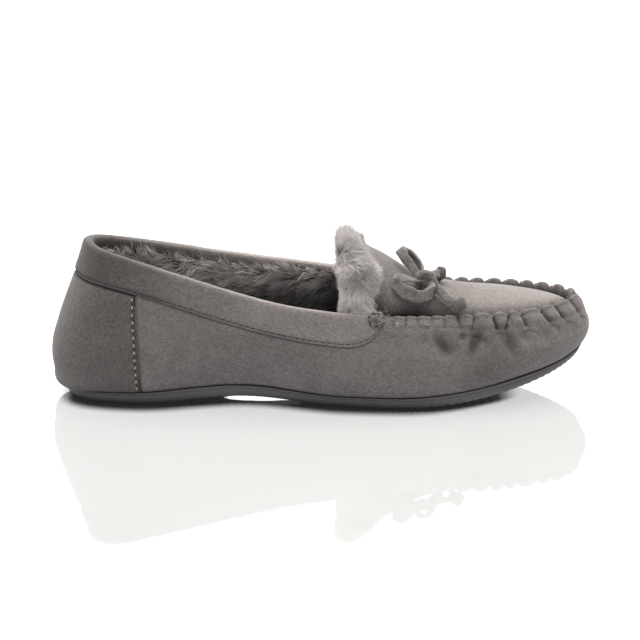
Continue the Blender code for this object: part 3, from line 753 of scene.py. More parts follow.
# ---------------------------------------------------------------- suede wall and moccasin seam
SIDE_GAP = 0.012  # stations open at the heel seams
TOP_GAP = 0.004  # share of a rib open under the collar
SUEDE = 1.4 * MM
COLLAR_LEATHER = 1.2 * MM
PILLOW_STARTS = (  # x of each gather's start on the lateral side, mm
    33.5, 39.5, 45.0, 51.5, 57.5, 64.0, 71.5, 80.8, 88.1, 94.4, 104.4, 111.6, 119.5,
)
PILLOW_PITCH = (7.4, 10.0)  # least and most, round the toe and down the far side, mm
DENTS = (  # x, depth below the seam, width, height, slant, strength: folds below the gathers
    (56.0, 13.0, 3.0, 5.2, 0.45, 1.25),
    (60.5, 15.5, 4.0, 3.5, 0.0, 0.5),
    (71.5, 13.0, 2.5, 6.4, -0.3, 1.35),
    (75.5, 11.0, 1.8, 3.5, 0.5, 0.5),
    (65.8, 9.5, 1.6, 2.0, 0.0, 0.5),
    (89.0, 15.0, 3.0, 6.4, 0.3, 1.0),
    (95.5, 11.0, 2.2, 3.4, 0.5, 0.5),
    (48.0, 10.5, 2.0, 3.0, -0.4, 0.35),
    (106.0, 12.5, 2.6, 4.0, 0.3, 0.4),
)
DENT_DEPTH = 2.3 * MM
# The wall's top edge as (inward, up) in mm: rolled over into the moccasin seam, or turned in
# under the collar.
SEAM_ROLL = (
    (0.1, 0.6), (0.5, 1.15), (1.1, 1.45), (1.85, 1.3),
    (2.5, 0.7), (2.9, -0.5), (3.1, -2.4), (3.1, -5.5),
)
COLLAR_TURN = (
    (0.08, 0.15), (0.25, 0.28), (0.45, 0.33), (0.7, 0.25),
    (0.9, 0.05), (1.0, -0.3), (1.05, -0.8), (1.1, -1.5),
)
COLLAR_ROWS = 30  # rows of the collar band below the rim's roll


def suede_panel(name, outer, thickness, finish, held, painted_shade, **extra):
    """A sheet of suede carrying its painted shade and any other attributes; held is not used."""
    attributes = {"painted_shade": np.clip(painted_shade, 0, 1), **extra}
    piece = shell(name, outer, thickness, finish, attributes=attributes)
    return piece


def seam_columns():
    """Stations of the side wall's columns, closer together along the moccasin seam."""
    back = even_stations(HEEL_SEAM_LATERAL, CORNER_LATERAL - 0.02, 1.3 * MM)
    seam = even_stations(CORNER_LATERAL, CORNER_MEDIAL, 0.5 * MM, 1.0)
    front = even_stations(CORNER_MEDIAL + 0.02, HEEL_SEAM_MEDIAL, 1.3 * MM)
    return np.concatenate([back, seam, front])


def seam_creases():
    """Distances along the moccasin seam, from the lateral corner, of its gathers."""
    fine = np.linspace(CORNER_LATERAL, CORNER_MEDIAL, 2000)
    line = top_edge(fine)
    run = run_along(line)
    lateral = fine < TOE - 0.2
    creases = list(np.interp(np.array(PILLOW_STARTS) * MM, line[lateral, 0], run[lateral]))
    rng = np.random.default_rng(5)
    while creases[-1] < run[-1] - 8 * MM:
        creases.append(creases[-1] + rng.uniform(*PILLOW_PITCH) * MM)
    return fine, run, np.array(creases)


SEAM_STATIONS, SEAM_RUN, CREASES = seam_creases()


def seam_run(station):
    """Distance along the moccasin seam from the lateral corner."""
    return np.interp(station, SEAM_STATIONS, SEAM_RUN)


def gather(run):
    """Bulge between two creases, 1 in the middle and 0 in a crease, and the way to the nearest."""
    i = np.clip(np.searchsorted(CREASES, run), 1, len(CREASES) - 1)
    start, end = CREASES[i - 1], CREASES[i]
    share = np.clip((run - start) / (end - start), 0, 1)
    nearest = np.where(share < 0.5, run - start, run - end)
    return np.sin(math.pi * share) ** 0.5, nearest, i + (share >= 0.5)


def gather_strength(station):
    """How hard the seam is gathered: loose by the corners, full round the toe."""
    run = seam_run(station)
    x = top_edge(station)[..., 0]
    lateral = 0.42 + 0.58 * smooth_step((x - 56 * MM) / (18 * MM))
    far = mix(1.0, 0.68, smooth_step((station - TOE - 0.5) / 0.7))
    strength = np.where(station < TOE, lateral, far)
    ends = smooth_step(run / (6 * MM)) * smooth_step((SEAM_RUN[-1] - run) / (9 * MM))
    return strength * ends


def side_wall():
    """The long suede piece round both sides and the toe, gathered along the moccasin seam."""
    stations = seam_columns()
    on_seam = (stations > CORNER_LATERAL - 0.01) & (stations < CORNER_MEDIAL + 0.01)
    top = np.where(on_seam, 1.0, collar_seam(stations) - TOP_GAP)
    rows = 1 - (1 - np.linspace(0, 1, 60)) ** 1.25
    station = stations[:, None] + 0 * rows
    share = top[:, None] * rows
    point, _, _, inward = wall_frame(station, share)
    height = height_up(point)
    below = height[:, -1:] - height
    strength = gather_strength(station) * on_seam[:, None]
    bulge, near, which = gather(seam_run(station))
    rng = np.random.default_rng(11)
    depth = rng.uniform(0.75, 1.2, len(CREASES) + 3)[which]
    leaning = rng.uniform(-0.3, 0.55, len(CREASES) + 3)[which]
    near = near + leaning * below
    full = smooth_step((point[..., 0] - 58 * MM) / (14 * MM))
    deep = below / np.where(station < TOE, mix(0.6, 0.8, full), 1.0)
    fade = smooth_step((8.6 * MM - deep) / (4.2 * MM))
    out = strength * fade * (2.5 * bulge - 1.1) * MM
    crease = strength * depth * bell(near, 0.6 * MM) * smooth_step((7.5 * MM - deep) / (3 * MM))
    out = out - 0.9 * MM * crease
    pit = strength * depth * bell(near, 1.3 * MM) * bell(deep - 7.0 * MM, 1.7 * MM)
    out = out - 1.2 * MM * pit
    beyond = np.clip(below - 7 * MM, 0, None)
    for slope, size in ((-0.62, 0.55), (0.05, 0.75), (0.7, 0.5)):
        reach = smooth_step((17 * MM - below) / (9 * MM)) * smooth_step(beyond / (2 * MM))
        out = out - size * MM * strength * reach * bell(near - slope * beyond, 1.1 * MM)
    out = out + 0.42 * MM * noise(point, 24 * MM, 3) + 0.16 * MM * noise(point, 8 * MM, 4)
    out = out + 0.9 * MM * bell(point[..., 0] - 127 * MM, 9 * MM) * bell(below - 15 * MM, 9 * MM)
    dents = np.zeros_like(below)
    for x, low, wide, tall, slant, strong in DENTS:
        away = point[..., 0] - x * MM - slant * (below - low * MM)
        dents = dents + strong * bell(away, wide * MM) * bell(below - low * MM, tall * MM)
    dents = dents * (station < TOE)
    out = out - DENT_DEPTH * dents
    ends = np.minimum(
        np.linalg.norm(point - rib(HEEL_SEAM_LATERAL, share), axis=-1),
        np.linalg.norm(point - rib(HEEL_SEAM_MEDIAL, share), axis=-1),
    )
    out = out - 0.9 * MM * bell(ends, 0.9 * MM)
    out = out - 0.5 * MM * bell(height, 1.0 * MM)
    wall = point - inward * out[..., None]

    edge = wall[:, -1]
    level_in = -plan_outward(top_edge, stations)
    place = seam_run(stations)
    hard = gather_strength(stations)
    seam_share = smooth_step(place / (3 * MM)) * smooth_step((SEAM_RUN[-1] - place) / (3 * MM))
    seam_share = seam_share * on_seam
    lines = [wall]
    for k, (on, off) in enumerate(zip(SEAM_ROLL, COLLAR_TURN)):
        swell, close, _ = gather(place + (k + 1) * 0.5 * MM)
        height_share = mix(1.0, 0.5 + 0.6 * swell - 0.45 * bell(close, 0.5 * MM), hard)
        inward_part = mix(off[0], on[0] * mix(1.0, 0.85 + 0.2 * swell, hard), seam_share)
        up_part = mix(off[1], on[1] * (height_share if on[1] > 0 else 1.0), seam_share)
        moved = edge + level_in * inward_part[:, None] * MM + UP * up_part[:, None] * MM
        lines.append(moved[:, None])
    outer = np.concatenate(lines, axis=1)
    thickness = np.full(outer.shape[:2], SUEDE)
    thickness[:, -len(SEAM_ROLL) :] = 0.5 * MM
    # Painted shade: darker in the creases, pits and dents, along the foot of the wall, at the heel
    # seams, under the gathers, in a broad patch round x = 76 mm on the lateral side and under the
    # collar's seam; on the seam's roll, darker between the gathers and deep in the seam.
    painted_shade = 0.75 * crease + 0.5 * pit + 0.42 * dents + 0.5 * bell(height, 0.7 * MM)
    painted_shade = painted_shade + 0.4 * bell(ends, 0.6 * MM)
    painted_shade = painted_shade + 0.2 * strength * bell(below - 9.5 * MM, 3.5 * MM)
    painted_shade = painted_shade + 0.22 * bell(point[..., 0] - 76 * MM, 15 * MM) * (station < TOE)
    painted_shade = painted_shade + 0.8 * (1 - on_seam[:, None]) * bell(below, 0.35 * MM)
    gather_gap_shade = hard * bell(gather(place)[1], 0.7 * MM)
    painted_shade = np.concatenate([painted_shade, np.repeat(0.85 * gather_gap_shade[:, None], len(SEAM_ROLL), axis=1)], axis=1)
    painted_shade[:, -2:] = np.maximum(painted_shade[:, -2:], 0.5 * seam_share[:, None])
    return suede_panel("side_wall_suede", outer, thickness, SUEDE_WALL, "gathered", painted_shade)


def heel_panel():
    """The suede panel round the heel, between the two upright seams."""
    start = HEEL_SEAM_MEDIAL + SIDE_GAP - STATIONS
    stations = even_stations(start, HEEL_SEAM_LATERAL - SIDE_GAP, 1.1 * MM)
    top = collar_seam(stations) - TOP_GAP
    rows = np.linspace(0, 1, 52)
    station = stations[:, None] + 0 * rows
    share = top[:, None] * rows
    point, _, _, inward = wall_frame(station, share)
    height = height_up(point)
    below = height[:, -1:] - height
    out = 0.35 * MM * noise(point, 22 * MM, 13) + 0.12 * MM * noise(point, 7 * MM, 14)
    # Painted shade along the panel's top and foot, and in the two upright seams.
    painted_shade = 0.8 * bell(below, 0.35 * MM) + 0.5 * bell(height, 0.7 * MM)
    for seam in (HEEL_SEAM_LATERAL, HEEL_SEAM_MEDIAL - STATIONS):
        away = np.linalg.norm(point - rib(seam, share), axis=-1)
        out = out - 0.9 * MM * bell(away, 0.9 * MM) - 0.25 * MM * bell(away - 1.9 * MM, 0.7 * MM)
        painted_shade = painted_shade + 0.5 * bell(away, 0.7 * MM)
    out = out - 0.8 * MM * bell(below, 0.7 * MM) - 0.5 * MM * bell(height, 0.8 * MM)
    back = smooth_step((-100 * MM - point[..., 0]) / (18 * MM))
    out = out + 2.6 * MM * back * bell(height - 2.8 * MM, 3.6 * MM)
    outer = point - inward * out[..., None]
    return suede_panel("heel_panel_suede", outer, SUEDE, SUEDE_HEEL_SHADED, "stretched", painted_shade)


def collar_band():
    """The suede band folded over the rim: up the wall, round the roll and down inside."""
    stations = even_stations(CORNER_MEDIAL - STATIONS, CORNER_LATERAL, 1.1 * MM, 1.0)
    seam = collar_seam(stations)
    rows = np.linspace(0, 1, COLLAR_ROWS) ** 1.3
    station = stations[:, None] + 0 * rows
    share = mix(seam[:, None], 1.0, rows)
    point, _, _, inward = wall_frame(station, share)
    height = height_up(point)
    out = 0.35 * MM + 0.3 * MM * noise(point, 20 * MM, 23) + 0.12 * MM * noise(point, 7 * MM, 24)
    out = out - 0.9 * MM * bell(height, 0.6 * MM)
    out = out - 0.35 * MM * bell(height - TOPSTITCH_RISE, 0.6 * MM)
    out = out + 0.2 * MM * bell(height - 3.4 * MM, 1.2 * MM)
    outer_leg = point - inward * out[..., None]
    tip, _, rise, inward = wall_frame(stations, 1.0)
    radius = rim_radius(stations)[:, None] + 0.4 * MM
    centre = tip + inward * rim_radius(stations)[:, None]
    wobble = 1 + 0.06 * noise(tip, 9 * MM, 29)[:, None]
    lines = []
    for angle in np.radians(np.arange(20, 181, 20)):
        across = rise * math.sin(angle) - inward * math.cos(angle)
        lines.append((centre + across * radius * wobble)[:, None])
    leg = 3.2 * MM * np.minimum(1, 0.35 + from_corner(stations) * 2)[:, None]
    for part in (0.2, 0.4, 0.6, 0.8, 1.0):
        spot = centre + inward * (radius * (1 - 0.25 * part)) - rise * leg * part
        lines.append(spot[:, None])
    outer = np.concatenate([outer_leg] + lines, axis=1)
    # Painted shade in the seam at the collar's foot, along the topstitch groove and low on the inner
    # leg.
    painted_shade = np.zeros(outer.shape[:2])
    stitch_groove_shade = 0.3 * bell(height - TOPSTITCH_RISE, 0.35 * MM)
    painted_shade[:, :COLLAR_ROWS] = 0.8 * bell(height, 0.35 * MM) + stitch_groove_shade
    painted_shade[:, -2:] = 0.3
    # Painted highlight along the top of the rim's roll, stronger on the medial half.
    worn = np.zeros(outer.shape[:2])
    crest = COLLAR_ROWS + 2
    worn[:, crest : crest + 3] = 0.35
    worn[stations < 0, crest : crest + 4] = 0.65
    return suede_panel(
        "collar_band_suede", outer, COLLAR_LEATHER, SUEDE_COLLAR, "folded", painted_shade, worn=worn
    )


def apron_panel():
    """The suede top panel, domed between the gathers and sunk along its edge."""
    stations = even_stations(THROAT_LATERAL, TOE - 0.03, 1.0 * MM, 1.0)
    across = np.sin(np.linspace(-math.pi / 2, math.pi / 2, 90))
    station = stations[:, None] + 0 * across
    inset = 2.9 * MM
    point, _, _, outward = apron_frame(station, across, inset)
    lateral, medial, _ = apron_edges(stations, inset)
    away = np.minimum(
        np.linalg.norm(point - lateral[:, None], axis=-1),
        np.linalg.norm(point - medial[:, None], axis=-1),
    )
    other = TOE + (TOE - station) / (TOE - THROAT_LATERAL) * (THROAT_MEDIAL - TOE)
    side = np.where(across < 0, station, other)
    bulge, near, _ = gather(seam_run(side))
    strength = gather_strength(np.clip(side, CORNER_LATERAL, CORNER_MEDIAL))
    out = 0.3 * MM * noise(point, 22 * MM, 33) + 0.12 * MM * noise(point, 8 * MM, 34)
    ending = smooth_step((46 * MM - point[..., 0]) / (14 * MM))  # where the seam runs out
    out = out - mix(4.6, 2.4, ending) * MM * bell(away, 5.0 * MM)
    out = out + strength * (1.0 * bulge - 0.5) * MM * bell(away - 1 * MM, 4.5 * MM)
    # Painted shade along the apron's sunk edge and between its gathers, and a painted shadow on its
    # lateral side by the bow, strongest near x = 45 mm.
    shaded = (0.15 + 0.85 * bell(point[..., 0] - 45 * MM, 13 * MM)) * (across < 0)
    painted_shade = 0.6 * bell(away, 2.2 * MM) + 0.95 * shaded * bell(away, 13 * MM)
    painted_shade = painted_shade + 0.3 * strength * bell(near, 1.2 * MM) * bell(away, 5 * MM)
    outer = point + outward * out[..., None]
    return suede_panel("apron_suede", outer, SUEDE, SUEDE_APRON, "stretched", painted_shade)


# ---------------------------------------------------------------- outsole
SOLE_PROFILE = (  # (inset mm, share of the sole's height), from under the sole up its edge
    (5.0, 0.0), (4.2, 0.01), (3.3, 0.05), (2.4, 0.13), (1.6, 0.24), (1.0, 0.36), (0.6, 0.48),
    (0.35, 0.6), (0.2, 0.7), (0.45, 0.76), (0.45, 0.8), (0.0, 0.86), (-0.35, 0.93), (-0.4, 0.98),
    (0.0, 1.0), (1.2, 1.0),
)
SOLE_POINTS = 900  # points round the edge
UNDER_RINGS, OVER_RINGS = 26, 8  # rings from the edge in to the middle line
LUG_PITCH, TREAD_PITCH, TREAD_RISE = 4.0 * MM, 4.2 * MM, 0.9 * MM


def outsole():
    """Moulded rubber sole: rounded edge with a groove, small side lugs and a ribbed tread."""
    fine = np.linspace(0, STATIONS, 6000)
    run = run_along(feather_edge(fine))
    along = np.linspace(0, run[-1], SOLE_POINTS, endpoint=False)
    stations = np.interp(along, run, fine)
    edge = feather_edge(stations)
    out = plan_outward(feather_edge, stations)[:, :2]
    x = edge[:, 0]
    lug = np.clip(np.sin(2 * math.pi * along / LUG_PITCH) * 1.8, -1, 1)
    lug = lug * (0.35 + 0.65 * smooth_step((x - 30 * MM) / (30 * MM)))
    rings = []
    for inset, share in SOLE_PROFILE:
        at_lug = bell(share - 0.16, 0.16)
        move = (inset + 0.32 * lug * at_lug)[:, None] * MM
        flat = edge - out * move
        height = tread(x) + sole_thickness(x) * share
        rings.append(np.column_stack([flat, height]))
    spine = np.column_stack([np.clip(x, -96 * MM, 92 * MM), 0.12 * (x + 0.02) + 0.001])
    under = []
    for k in range(UNDER_RINGS, 0, -1):
        flat = mix(rings[0][:, :2], spine, (k / UNDER_RINGS) ** 0.8)
        rib_wave = np.clip(np.sin(2 * math.pi * flat[:, 0] / TREAD_PITCH) * 2.2, -1, 1) * 0.5 + 0.5
        slanting = flat[:, 0] + 2.2 * flat[:, 1]
        weave = np.clip(np.sin(2 * math.pi * slanting / (2 * TREAD_PITCH)) * 2, -1, 1)
        margin = smooth_step((k - 1) / 2.0)
        lift = TREAD_RISE * rib_wave * margin * (0.7 + 0.3 * weave)
        under.append(np.column_stack([flat, tread(flat[:, 0]) + lift]))
    over = []
    for k in range(1, OVER_RINGS + 1):
        flat = mix(rings[-1][:, :2], spine, k / OVER_RINGS)
        over.append(np.column_stack([flat, sole_top(flat[:, 0])]))
    grid = np.stack(under + rings + over)
    quads = grid_quads(len(grid), grid.shape[1], wrap=True)[:, ::-1]
    return mesh_piece("rubber_outsole", grid.reshape(-1, 3), quads, RUBBER)


# ---------------------------------------------------------------- stitching
def collar_stitches():
    """Topstitching along the foot of the collar, one dash a stitch."""
    stations = even_stations(CORNER_MEDIAL + 0.1 - STATIONS, CORNER_LATERAL - 0.06, 3.0 * MM, 0.85)
    seam = rib(stations, collar_seam(stations))
    share = share_at_height(stations, seam[:, 2] + TOPSTITCH_RISE * 0.98)
    point, _, _, inward = wall_frame(stations, share)
    centres = point - inward * 0.18 * MM
    along = unit(np.gradient(centres, axis=0))
    return pellets(centres, along, -inward, 2.3 * MM, 0.36 * MM, 0.38 * MM)


def heel_stitches(station, beads):
    """Stitches down one heel seam: the light thread's beads, or dark pellets of painted shade in the
    holes between them.
    """
    pitch = 3.6 * MM
    top = float(collar_seam(np.array(station))) - 0.03
    shares = np.linspace(0.03, top, 400)
    line = rib(np.full_like(shares, station), shares)
    run = run_along(line)
    marks = np.arange(1.2 * MM if beads else 3.0 * MM, run[-1], pitch)
    shares = np.interp(marks, run, shares)
    point, _, rise, inward = wall_frame(np.full_like(shares, station), shares)
    lift = 0.12 * MM if beads else -0.02 * MM
    size = (1.35, 0.75, 0.6) if beads else (1.4, 0.7, 0.5)
    return pellets(point - inward * lift, rise, -inward, *(np.array(size) * MM))


def seam_threads():
    """The thread that gathers the moccasin seam, showing between the gathers."""
    run = CREASES[(CREASES > 4 * MM) & (CREASES < SEAM_RUN[-1] - 4 * MM)]
    stations = np.interp(run, SEAM_RUN, SEAM_STATIONS)
    tip = top_edge(stations)
    level_in = -plan_outward(top_edge, stations)
    along = unit(top_edge(stations + 0.01) - top_edge(stations - 0.01))
    centres = tip + level_in * 1.6 * MM + UP * 0.15 * MM
    across = unit(level_in + along * 0.35 - UP * 0.1)
    out = unit(np.cross(across, along))
    out = out * np.sign(out[:, 2:3])
    return pellets(centres, across, out, 2.6 * MM, 0.32 * MM, 0.32 * MM)


def piece_from(name, parts, finish):
    """An object from one (vertices, faces) pair or a list of them."""
    vertices, quads = join(parts) if isinstance(parts, list) else parts
    return mesh_piece(name, vertices, quads, finish)


# ---------------------------------------------------------------- lace bow
# Rows: x, y, lift above the apron (mm); side x, y, z; width, thickness (mm).
HALF_LATERAL = (
    (50.5, -8.5, 4.2, 0.0, 0.9, -0.3, 4.2, 1.6),
    (46.5, -12.0, 4.4, 0.0, 0.95, -0.1, 5.0, 1.4),
    (41.5, -14.4, 4.8, 0.1, 0.95, 0.1, 5.2, 1.3),
    (37.2, -16.8, 4.6, 0.3, 0.75, 0.4, 5.2, 1.3),
    (35.0, -19.4, 4.0, 0.1, 0.5, 0.85, 5.3, 1.3),
    (37.3, -21.4, 4.4, 0.0, 0.35, 0.93, 5.6, 1.4),
    (41.4, -22.2, 4.8, 0.0, 0.3, 0.95, 6.4, 1.5),
    (46.2, -21.8, 4.6, 0.0, 0.3, 0.95, 5.6, 1.5),
    (50.4, -19.4, 4.8, 0.1, 0.3, 0.95, 5.8, 2.0),
    (52.2, -16.0, 5.0, 0.3, 0.2, 0.93, 6.4, 3.0),
    (51.0, -11.0, 5.0, 0.3, 0.3, 0.8, 4.6, 2.6),
    (53.6, -12.0, 4.8, 0.4, 0.3, 0.8, 4.2, 2.6),
    (56.4, -15.6, 4.3, 0.5, 0.4, 0.7, 3.9, 2.7),
    (59.0, -18.8, 4.1, 0.5, 0.4, 0.7, 3.8, 2.7),
    (61.8, -21.2, 4.2, 0.5, 0.4, 0.7, 3.7, 2.7),
    (64.4, -23.2, 4.4, 0.6, 0.5, 0.5, 3.4, 2.6),
)
HALF_MEDIAL = (
    (49.0, -9.6, 4.6, 0.6, 0.5, 0.6, 3.8, 1.8),
    (45.6, -6.4, 4.6, 0.8, 0.3, 0.45, 4.0, 1.5),
    (42.6, -4.0, 5.6, 0.9, 0.1, 0.4, 4.2, 1.4),
    (40.0, -2.2, 7.2, 0.9, 0.1, 0.4, 4.6, 1.9),
    (38.2, 0.0, 8.4, 0.85, -0.1, 0.5, 4.6, 1.9),
    (38.8, 2.6, 8.6, 0.6, -0.4, 0.6, 4.6, 1.9),
    (42.2, 4.0, 8.2, 0.35, -0.5, 0.75, 4.6, 1.9),
    (45.6, 2.6, 7.0, 0.4, -0.5, 0.75, 4.6, 1.9),
    (48.2, -1.0, 5.6, 0.3, -0.6, 0.7, 4.2, 1.5),
    (49.6, -5.4, 4.8, -0.2, -0.6, 0.7, 4.0, 1.8),
    (51.4, -6.2, 5.4, -0.6, 0.3, 0.7, 3.8, 2.3),
    (53.0, -3.4, 5.4, -0.5, 0.3, 0.8, 3.6, 2.4),
    (54.6, 0.0, 5.0, -0.4, 0.3, 0.8, 3.5, 2.3),
    (56.2, 2.8, 4.4, -0.4, 0.3, 0.8, 3.4, 2.3),
    (57.4, 4.8, 3.8, -0.5, 0.3, 0.7, 3.2, 2.3),
)
LACE_DIMPLES = ((39.8, -22.0, 5.4), (43.6, -22.2, 5.2))  # x, y, lift (mm) of spots of painted shade on the lateral loop, where it dimples
LACE_RING = 20  # points round the strip


def lace_half(name, rows, dimples):
    """One half of the lace: out round its loop, back through the knot and down its tail."""
    control = [(*on_apron(x, y, lift), *rest) for x, y, lift, *rest in rows]
    line = smooth_path(np.array(control), 0.8 * MM)
    path = line[:, :3]
    width = line[:, 6] * MM * (1 + 0.05 * noise(path, 5 * MM, 41))
    vertices, quads = sweep(path, line[:, 3:6], width, line[:, 7] * MM, ring=LACE_RING)
    vertices = roughen(vertices, (0.55, 4.0, 43), (0.2, 1.6, 45))
    around = (np.arange(len(vertices)) % LACE_RING + 0.5) * 2 * math.pi / LACE_RING
    worn = 0.34 * abs(np.cos(around)) ** 8  # painted highlight along the strip's two cut edges
    painted_shade = 0 * worn
    # Painted shade at the dimple spots.
    for spot in dimples:
        painted_shade = painted_shade + 0.75 * bell(np.linalg.norm(vertices - on_apron(*spot), axis=1), 1.3 * MM)
    attributes = {"worn": worn, "painted_shade": np.clip(painted_shade, 0, 1)}
    return mesh_piece(name, vertices, quads, SUEDE_LACE, attributes=attributes), path


# Rows: towards the toe, towards the lateral side, up from the knot's middle (mm).
KNOT_ARCH = (
    (-3.2, 1.0, -1.6), (-3.9, 2.4, 0.8), (-3.4, 3.0, 3.2), (-1.4, 3.2, 4.7), (1.3, 3.4, 4.3),
    (3.2, 3.8, 1.8), (4.3, 4.2, -1.2), (4.2, 4.0, -3.8), (2.8, 2.2, -4.6),
)


def wrap_round(path, middle, width, thickness, ring):
    """A band of even size, in mm, lying flat against what it is wrapped round."""
    side = unit(np.cross(np.gradient(path, axis=0), path - middle))
    widths, thicknesses = (np.full(len(path), size * MM) for size in (width, thickness))
    return sweep(path, side, widths, thicknesses, 0.8, ring)


def knot_wraps():
    """The lace wrapped over itself in the middle of the bow: a thick arch over two lumps."""
    centre = on_apron(49.8, -9.6, 4.4)
    rows = np.array(KNOT_ARCH) * MM
    path = smooth_path(rows * (1, -1, 1), 0.7 * MM) + centre
    parts = [wrap_round(path, centre - UP * MM, 3.1, 2.7, 20)]
    for shift, half in (((-0.4, -0.4, -0.2), (3.4, 3.6, 3.2)), ((-2.6, 3.0, 1.4), (3.0, 2.8, 2.6))):
        parts.append(ellipsoid(centre + np.array(shift) * MM, np.array(half) * MM))
    vertices, quads = join(parts)
    return roughen(vertices, (0.28, 3, 47), (0.12, 1.4, 48)), quads


def ellipsoid(centre, half, rings=20, turns=28):
    """Vertices and faces of an ellipsoid with the given half sizes."""
    down = np.linspace(0.01, math.pi - 0.01, rings)[:, None]
    turn = np.linspace(0, 2 * math.pi, turns, endpoint=False)[None]
    level = np.sin(down)
    ball = np.stack([level * np.cos(turn), level * np.sin(turn), np.cos(down) + 0 * turn], axis=-1)
    return (centre + ball * half).reshape(-1, 3), grid_quads(rings, turns, wrap=True)


def overhand(node, heading):
    """A small overhand knot pulled tight: the lace's rounded end under a slanting wrap."""
    centre, half = middle_and_half(node)
    turn = math.cos(heading), math.sin(heading)
    spin = np.array([(turn[0], -turn[1], 0.0), (turn[1], turn[0], 0.0), (0.0, 0.0, 1.0)])
    centre = centre + (0.0, 0.0, 0.6 * MM)
    parts = [ellipsoid(centre, half * (1.04, 1.04, 1.1))]
    angle = np.linspace(0, 2 * math.pi, 46)
    band = np.column_stack([0.5 * np.sin(angle) - 0.15, np.cos(angle), np.sin(angle)])
    band[:, 1:] *= np.sqrt(np.clip(1 - band[:, :1] ** 2 * 0.8, 0.2, 1))
    path = centre + (band * (half.max(), half[:2].mean(), half[2] * 1.1)) @ spin.T
    parts.append(wrap_round(path, centre, 2.8, 1.7, 14))
    vertices, quads = join(parts)
    return roughen(vertices, (0.3, 3, 53), (0.15, 1.4, 54)), quads


def tack(node):
    """A gathered tack: a puckered ball of suede, pinched in by a ring of thread."""
    centre = middle_and_half(node)[0] + np.array([-2.4, 0.0, -1.0]) * MM
    half = np.array([3.9, 2.7, 3.5]) * MM
    rings, turns = 34, 72
    flip = -1 if "medial" in node else 1
    down = np.linspace(0.02, math.pi - 0.02, rings)[:, None]
    turn = np.linspace(0, 2 * math.pi, turns, endpoint=False)[None]
    pleat = 1 + 0.13 * np.cos(7 * turn + 2.5 * np.sin(down * 2)) * np.sin(down) ** 0.7
    size = pleat * (1 - 0.24 * bell(down - 1.5 + 0.25 * np.sin(turn), 0.2))
    ball = np.stack(
        [
            np.sin(down) * np.cos(turn) * size,
            -np.cos(down) * (1 + 0.15 * np.sin(5 * turn)),
            np.sin(down) * np.sin(turn) * size,
        ],
        axis=-1,
    )
    points = roughen(centre + ball * (1, flip, 1) * half, (0.45, 2.4, 59))
    quads = grid_quads(rings, turns, wrap=True)[:, ::flip]
    threads = []
    for tilt, wide in ((0.0, 0.9), (0.5, 0.86)):
        angle = np.linspace(0, 2 * math.pi, 40)
        band = np.column_stack(
            [np.cos(angle), (-0.1 + 0.25 * np.sin(angle + tilt * 4)) * flip, np.sin(angle)]
        )
        path = centre + band * half * (wide, 1.1, wide)
        size = np.full(len(path), 0.5 * MM)
        threads.append(sweep(path, np.tile([0.0, 1.0, 0.0], (len(path), 1)), size, size, 1.0, 8))
    return (points.reshape(-1, 3), quads), threads


# ---------------------------------------------------------------- fleece
LINING_DEPTH = 4.2 * MM  # from the wall's outer face in to the fleece's backing
APRON_LINING = (4 + 2 / 3, 7 + 1 / 3)  # lateral stations that the apron's lining runs between


def lining_grid(start, end, top_drop, depth, rows=60, step=1.6):
    """The lining's inner face: stations along, rows from the insole up.

    top_drop is how far below the far rim it ends, or None where the apron covers its top."""
    stations = even_stations(start, end, step * MM)
    foot = share_at_height(stations, sole_top(feather_edge(stations)[:, 0]) + 5.0 * MM)
    level = np.linspace(0, 1, rows)
    if top_drop is None:
        top = np.full_like(stations, 0.78)
        far = 0 * stations
    else:
        far = 1 - smooth_step((stations + 0.2) / 0.5)
        edge = top_edge(stations)
        back = 1 - smooth_step((edge[:, 0] + 34 * MM) / (20 * MM))
        top = share_at_height(stations, edge[:, 2] - mix(4.5 * MM, top_drop + 2.8 * MM * back, far))
        far = far * (1 - back)
    share = mix(foot[:, None], top[:, None], level)
    point, along, rise, inward = wall_frame(stations[:, None] + 0 * share, share)
    lap = (far[:, None] * smooth_step((level - 0.8) / 0.2))[..., None] * MM  # over the rim's roll
    return point + inward * (depth + 1.4 * lap) + 1.0 * lap * rise, along, rise, inward


def lining(name, node, grid, count, seed, length=9.0):
    """A fleece lining: a near-black backing of painted shade, and strands combed along the wall in
    waves.
    """
    point, along, rise, inward = grid
    backing = shell(name + "_backing", point, 1.6 * MM, PELT_SHADED, flip=True)
    places = scatter(point, count, seed)
    roots = sample(point, places)
    heading = sample(along, places)
    up = sample(rise, places)
    normals = unit(sample(inward, places))
    wave = noise(roots, 15 * MM, seed) * 0.8 + 0.25 * noise(roots, 5 * MM, seed + 1)
    wave = wave[:, None]
    comb = heading * (1 - 0.3 * abs(wave)) + up * wave - up * 0.12
    high = places[1] / point.shape[1]
    comb = comb + up * 1.4 * smooth_step((high[:, None] - 0.82) / 0.15) * (roots[:, 1:2] > 0)
    lift = 0.42 + 0.28 * noise(roots, 9 * MM, seed + 2) + 0.25 * smooth_step((high - 0.75) / 0.2)
    lit = mix(-0.85, 0.5, smooth_step((high - 0.35) / 0.5))
    shadow = (0.75 - 0.75 * smooth_step((high - 0.7) / 0.2)) * smooth_step(
        (roots[:, 0] + 60 * MM) / (60 * MM)
    )
    strands = fur(
        name + "_fleece", roots, normals, comb, length * MM, LINING_FLEECE, seed + 3,
        clump=30, pull=0.6, lift=np.clip(lift, 0.1, 0.95), width=0.21,
        shade=0.2 * noise(roots, 12 * MM, seed + 5) + lit - shadow + 0.25, vary=0.5, stray=0.18,
    )
    put(backing, "lining_fleece", node)
    put(strands, "lining_fleece")


